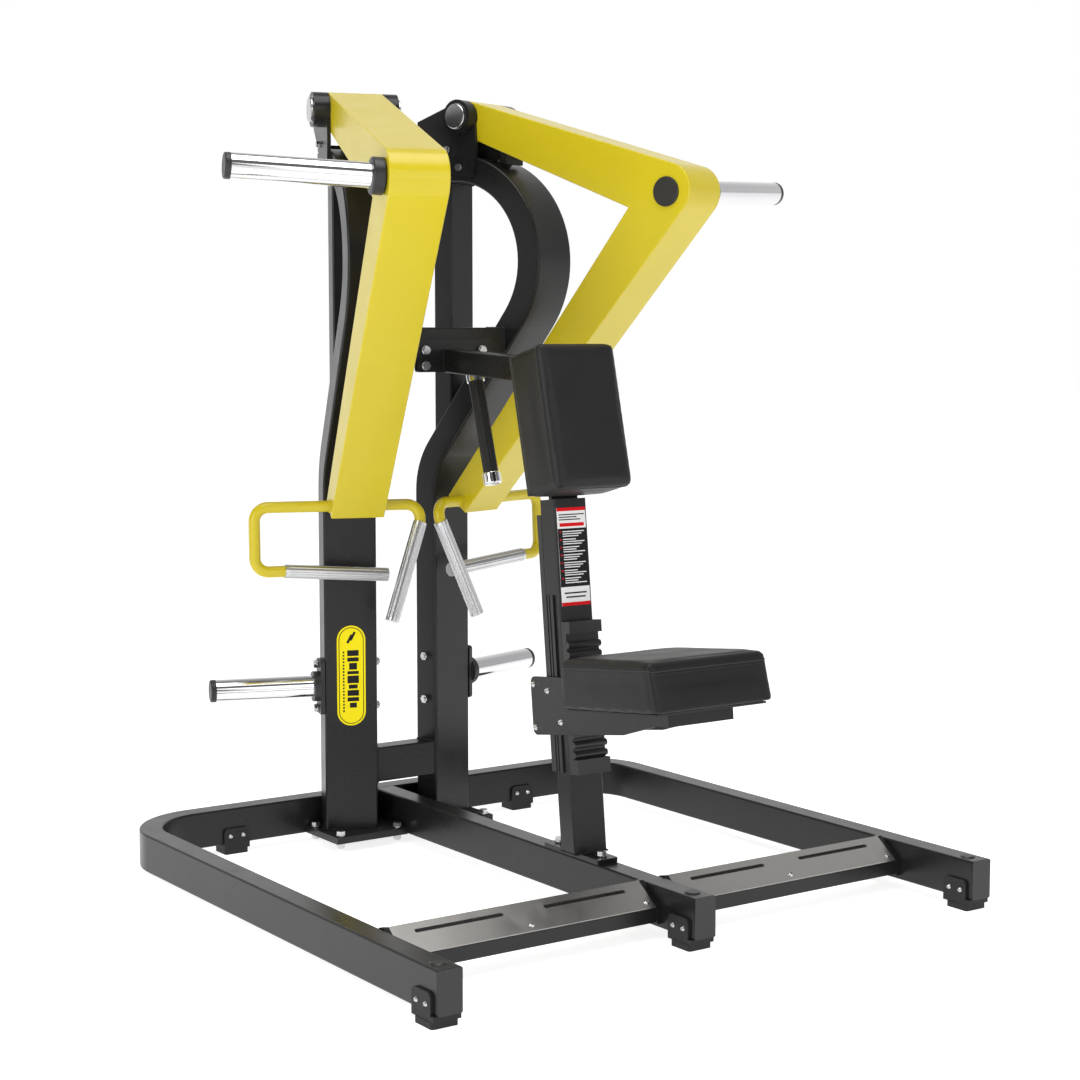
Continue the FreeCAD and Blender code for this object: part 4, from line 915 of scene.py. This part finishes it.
@dataclass
class Welds:
    """The weld beads of the frame and of both arms.

    Attributes:
        column_half: Half depth and half width of an upright's tube, in millimetres.
        foot_z: Height of the column's foot.
        bar_radius: Radius of a handle bar.
        handle: The handle bar's s and z where it passes the arm.
        bead: Half sizes of one bead, in metres.
        frame_pitch: Distance between beads on the frame.
        arm_pitch: Distance between beads on an arm.
    """

    paints: Paints
    beads: BeadRow
    column_half: tuple[float, float] = (30.0, 60.0)
    foot_z: float = 37.0
    bar_radius: float = 12.5
    handle: tuple[float, float] = (103.0, 777.0)
    bead: Triple = (0.0024, 0.0024, 0.0028)
    frame_pitch: float = 0.0042
    arm_pitch: float = 0.0036

    def column_foot(self, place: SideFrame) -> list[Vector]:
        """The bead round the foot of one column."""
        depth, width = self.column_half
        turns = ((1, 1), (-1, 1), (-1, -1), (1, -1))
        corners = [place.at(s * depth, q * width, self.foot_z + 1) for s, q in turns]
        return rectangle(corners)

    def beam_end(self, place: SideFrame, beam: str) -> list[Vector]:
        """The bead where a cross beam meets the inner face of one upright.

        Args:
            place: The upright's frame.
            beam: The beam's CAD node.

        Returns:
            A closed chain round the beam.
        """
        low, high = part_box(beam)
        half_width = self.column_half[1]
        turn = math.radians(place.yaw)
        corners = []
        for y, z in ((low.y, low.z), (high.y, low.z), (high.y, high.z), (low.y, high.z)):
            along = (place.y - y) * 1000 - half_width * math.sin(turn)
            corners.append(place.at(along / math.cos(turn), -half_width - 0.5, z * 1000))
        return rectangle(corners)

    def post_foot(self) -> list[Vector]:
        """The bead round the foot of the seat post."""
        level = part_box("post_flange")[1].z + 0.001
        half_width, half_depth = 0.040, 0.0252
        middle = POST.origin[1]
        front, rear = middle - half_depth, middle + half_depth
        spots = ((half_width, front), (half_width, rear), (-half_width, rear), (-half_width, front))
        return rectangle([Vector((x, y, level)) for x, y in spots])

    def pad_bar_root(self) -> list[Vector]:
        """The bead round the root of the pad bar."""
        half = 0.025
        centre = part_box("pad_bar")[1].z - half
        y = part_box("pad_bar_plate")[0].y - 0.001
        turns = ((1, 1), (-1, 1), (-1, -1), (1, -1))
        return rectangle([Vector((x * half, y, centre + z * half)) for x, z in turns])

    def pillar_top(self, place: SideFrame) -> list[Vector]:
        """The bead where the rear pillar meets the hoop."""
        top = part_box("rear_pillars")[1].z * 1000 - 1
        rear, front, half_width = 12.5, 63.5, 40.5
        spots = ((front, half_width), (rear, half_width), (rear, -half_width), (front, -half_width))
        corners = [place.at(s, q, top) for s, q in spots]
        return rectangle(corners)

    def handle_rings(self, place: SideFrame) -> list[list[Vector]]:
        """The beads round a handle bar on both faces of the arm."""
        s, z = self.handle
        axis = (place.at(0, 1, 0) - place.at(0, 0, 0)).normalized()
        return [ring(place.at(s, q, z), axis, (self.bar_radius + 0.6) * MM) for q in (-60.3, 60.3)]

    def build(self) -> None:
        """Lay every bead, one piece for each body."""
        paths = [self.post_foot(), self.pad_bar_root()]
        for place in SIDES.values():
            paths.append(self.column_foot(place))
            paths.append(self.beam_end(place, "column_crossbar"))
            paths.append(self.beam_end(place, "pad_crossmember"))
            paths.append(self.pillar_top(place))
        black = self.paints.of(BLACK_COAT)
        piece = self.beads.lay("frame_welds", paths, self.frame_pitch, self.bead, 0.25, black)
        settle(piece, "frame")
        yellow = self.paints.of(YELLOW_PAINT)
        for name, place in SIDES.items():
            rings = self.handle_rings(place)
            piece = self.beads.lay(name + "_arm_welds", rings, self.arm_pitch, self.bead, 0.25, yellow)
            settle(piece, name + "_arm")


# ---- printed plates


@dataclass
class PrintedPlates:
    """Generic print on the badge and on the post's plate: bars and dots, with no lettering.

    Attributes:
        paints: The finishes.
        lift: Thickness of the ink, in metres.
    """

    paints: Paints
    lift: float = 0.00025

    def bars(
        self, name: str, rows: list[tuple[float, float, float, float]], matrix: Matrix,
        finish: Finish, layer: int = 1,
    ) -> None:
        """Print bars as one thin closed piece.

        Args:
            name: The piece's name.
            rows: Bars as (left, right, low, high), in millimetres on the face.
            matrix: The face's frame, z outwards.
            finish: The ink.
            layer: How many inks lie under it, plus one.
        """
        target = bmesh.new()
        for left, right, low, high in rows:
            base = Vector((left * MM, low * MM, -0.0001))
            box_faces(base, Vector((right * MM, high * MM, self.lift * layer)), matrix, target)
        mesh = closed(target, name)
        mesh.materials.append(self.paints.of(finish))
        settle(new_piece(name, mesh), "frame")

    def placard(self) -> None:
        """The information plate: red ends, a dark panel, and rows of plain bars."""
        low, high = POST.local_box("post_placard")
        upright = Matrix.Rotation(math.radians(90), 4, "X")
        face = POST.matrix @ Matrix.Translation((0, low.y, 0)) @ upright
        half = high.x * 1000
        bottom, top = low.z * 1000, high.z * 1000
        red = [(-half, half, top - 7, top), (-half, half, bottom, bottom + 7)]
        red.append((-half + 5, half - 5, top - 38, top - 31))
        panel = [(-half, half, bottom + 38, top - 42)]
        dark, pale, dots = [], [], []
        for k in range(3):
            level = top - 13 - 5 * k
            dark.append((-half + 4, half - 4 - 9 * ((k * 2) % 3), level - 2.2, level))
        for k in range(2):
            level = bottom + 27 - 8 * k
            dark.append((-half + 8 + 3 * k, half - 8 - 3 * k, level - 3, level))
        level = top - 47
        row = 0
        while level > bottom + 46:
            if row % 3 == 0:
                dots.append((-half + 4, -half + 7.5, level - 3, level))
            pale.append((-half + 11, half - 6 - 7 * ((row * 5) % 4), level - 2, level))
            level -= 4.6 if row % 3 != 2 else 6.4
            row += 1
        self.bars("placard_red", red, face, PRINT_RED)
        self.bars("placard_panel", panel, face, PRINT_BLACK)
        self.bars("placard_dark_bars", dark, face, PRINT_BLACK)
        self.bars("placard_pale_bars", pale, face, PRINT_WHITE, layer=2)
        self.bars("placard_red_dots", dots, face, PRINT_RED, layer=2)

    def badge(self) -> None:
        """The pill badge: a dark rim line, an emblem of two slanted strokes and plain bars."""
        place = SIDES["left"]
        face = place.front @ Matrix.Translation((0, 0, 0.0315))
        low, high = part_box("column_badge")
        centre = (low.z + high.z) * 500
        half_length = (high.z - low.z) * 500
        radius = 32.5
        target = bmesh.new()
        outline = []
        for k in range(48):
            angle = 2 * math.pi * k / 48
            lift = half_length - radius if math.sin(angle) >= 0 else radius - half_length
            outline.append((math.cos(angle), math.sin(angle), lift))
        rims = []
        for reach in (radius - 4.0, radius - 5.6):
            for z in (-0.0001, self.lift):
                rims.append([
                    target.verts.new(face @ Vector((c * reach * MM, (centre + s * reach + lift) * MM, z)))
                    for c, s, lift in outline
                ])
        outer_low, outer_high, inner_low, inner_high = rims
        loop = (outer_low, outer_high, inner_high, inner_low, outer_low)
        for near, far in zip(loop, loop[1:]):
            for k in range(48):
                n = (k + 1) % 48
                target.faces.new((near[k], near[n], far[n], far[k]))
        for dx, dz in ((-3.5, 0), (3.5, 6)):
            height = centre + half_length - 30 + dz
            spot = face @ Matrix.Translation((dx * MM, height * MM, self.lift / 2))
            slant = Matrix.Rotation(math.radians(-28), 4, "Z")
            size = Matrix.Diagonal((0.0055, 0.021, self.lift, 1.0))
            bmesh.ops.create_cube(target, size=1.0, matrix=spot @ slant @ size)
        level = centre + half_length - 56
        blocks = ((26, 13), (26, 9), (18, 15), (26, 7), (26, 17), (20, 9), (26, 13), (26, 9), (16, 11))
        for width, length in blocks:
            low_corner = Vector(((4 - width / 2) * MM, (level - length) * MM, -0.0001))
            high_corner = Vector(((4 + width / 2) * MM, level * MM, self.lift))
            box_faces(low_corner, high_corner, face, target)
            level -= length + 3.4
        for k in range(19):
            spot = centre + half_length - 58 - 7.4 * k
            low_corner = Vector((-0.0195, (spot - 4.2) * MM, -0.0001))
            high_corner = Vector((-0.0158, spot * MM, self.lift))
            box_faces(low_corner, high_corner, face, target)
        mesh = closed(target, "badge_marks")
        mesh.materials.append(self.paints.of(PRINT_BLACK))
        settle(new_piece("badge_marks", mesh), "frame")

    def build(self) -> None:
        """Print both plates."""
        self.placard()
        self.badge()


# ---- studio


@dataclass
class Studio:
    """The pale floor, the soft lights and the camera.

    Attributes:
        eye: The camera's place, in metres.
        look: The camera's direction.
        lens: Focal length in millimetres on a 36 mm sensor.
        dim: The world's strength behind the viewer.
    """

    eye: Triple = (-2.4388, -3.5204, 1.1443)
    look: Triple = (0.5690, 0.8166, -0.0966)
    lens: float = 69.56
    dim: float = 0.16

    def floor(self) -> None:
        """A plain pale floor."""
        mesh = bpy.data.meshes.new("floor")
        mesh.from_pydata([(-30, -30, 0), (30, -30, 0), (30, 30, 0), (-30, 30, 0)], [], [(0, 1, 2, 3)])
        material = bpy.data.materials.new("pale_floor")
        material.use_nodes = True
        shader = material.node_tree.nodes["Principled BSDF"]
        shader.inputs["Base Color"].default_value = (0.82, 0.82, 0.82, 1.0)
        shader.inputs["Roughness"].default_value = 0.8
        shader.inputs["Emission Color"].default_value = (1.0, 1.0, 1.0, 1.0)
        shader.inputs["Emission Strength"].default_value = 0.8
        shader.inputs["Specular IOR Level"].default_value = 0.1
        mesh.materials.append(material)
        new_piece("floor", mesh)

    def lamp(
        self, name: str, place: Triple, towards: Triple, size: tuple[float, float], power: float
    ) -> None:
        """A soft rectangular light.

        Args:
            name: The light's name.
            place: Where it stands, in metres.
            towards: The point that it faces.
            size: Its width and height.
            power: Its power in watts.
        """
        light = bpy.data.lights.new(name, "AREA")
        light.shape = "RECTANGLE"
        light.size, light.size_y = size
        light.energy = power
        lamp = bpy.data.objects.new(name, light)
        direction = Vector(towards) - Vector(place)
        lamp.location = place
        lamp.rotation_mode = "QUATERNION"
        lamp.rotation_quaternion = direction.to_track_quat("-Z", "Y")
        bpy.context.scene.collection.objects.link(lamp)

    def camera(self) -> None:
        """The camera, with no shift and no depth of field."""
        data = bpy.data.cameras.new("camera")
        data.sensor_width = 36.0
        data.sensor_fit = "HORIZONTAL"
        data.lens = self.lens
        data.clip_start, data.clip_end = 0.05, 100.0
        camera = bpy.data.objects.new("camera", data)
        camera.location = self.eye
        camera.rotation_mode = "QUATERNION"
        camera.rotation_quaternion = Vector(self.look).to_track_quat("-Z", "Y")
        bpy.context.scene.collection.objects.link(camera)
        bpy.context.scene.camera = camera

    def world(self) -> bpy.types.World:
        """A white wall behind the machine and a white skyline, dim elsewhere."""
        world = bpy.data.worlds.new("studio")
        world.use_nodes = True
        tree = world.node_tree
        direction = add(tree, "ShaderNodeTexCoord").outputs["Generated"]
        ahead = add(tree, "ShaderNodeVectorMath", operation="DOT_PRODUCT")
        wire(tree, direction, ahead.inputs[0])
        ahead.inputs[1].default_value = Vector((self.look[0], self.look[1], 0.0)).normalized()
        wall = spread(tree, ahead.outputs["Value"], (-0.1, 0.75), (self.dim, 1.0))
        parts = add(tree, "ShaderNodeSeparateXYZ")
        wire(tree, direction, parts.inputs[0])
        height = spread(tree, parts.outputs["Z"], (0.3, 0.8), (1.0, 0.5))
        skyline = spread(tree, parts.outputs["Z"], (0.02, 0.16), (1.0, self.dim))
        shade = maths(tree, "MAXIMUM", maths(tree, "MULTIPLY", wall, height), skyline)
        background = tree.nodes["Background"]
        background.inputs["Color"].default_value = (1.0, 1.0, 1.0, 1.0)
        wire(tree, shade, background.inputs["Strength"])
        return world

    def build(self) -> None:
        """Set up the whole studio."""
        scene = bpy.context.scene
        scene.view_settings.view_transform = "Standard"
        scene.world = self.world()
        self.floor()
        self.lamp("top_light", (-0.4, -0.6, 4.2), (0.0, 0.0, 0.6), (2.6, 2.6), 80.0)
        self.lamp("left_light", (-4.2, -1.2, 2.0), (0.0, 0.1, 0.9), (1.2, 2.8), 62.0)
        self.lamp("front_light", (0.4, -4.8, 2.2), (0.1, 0.0, 0.7), (3.4, 2.6), 46.0)
        self.camera()


def main() -> None:
    """Dress the machine piece by piece."""
    logging.basicConfig(level=logging.INFO, format="%(name)s: %(message)s")
    paints = Paints()
    beads = BeadRow()
    paints.dress_frame()
    Upholstery("seat_cushion", "seat", POST, 2, -1, paints=paints, beads=beads).build()
    Upholstery("chest_pad", "frame", PAD, 1, 1, paints=paints, beads=beads).build()
    Welds(paints, beads).build()
    PrintedPlates(paints).build()
    Studio().build()


if __name__ == "__main__":
    main()
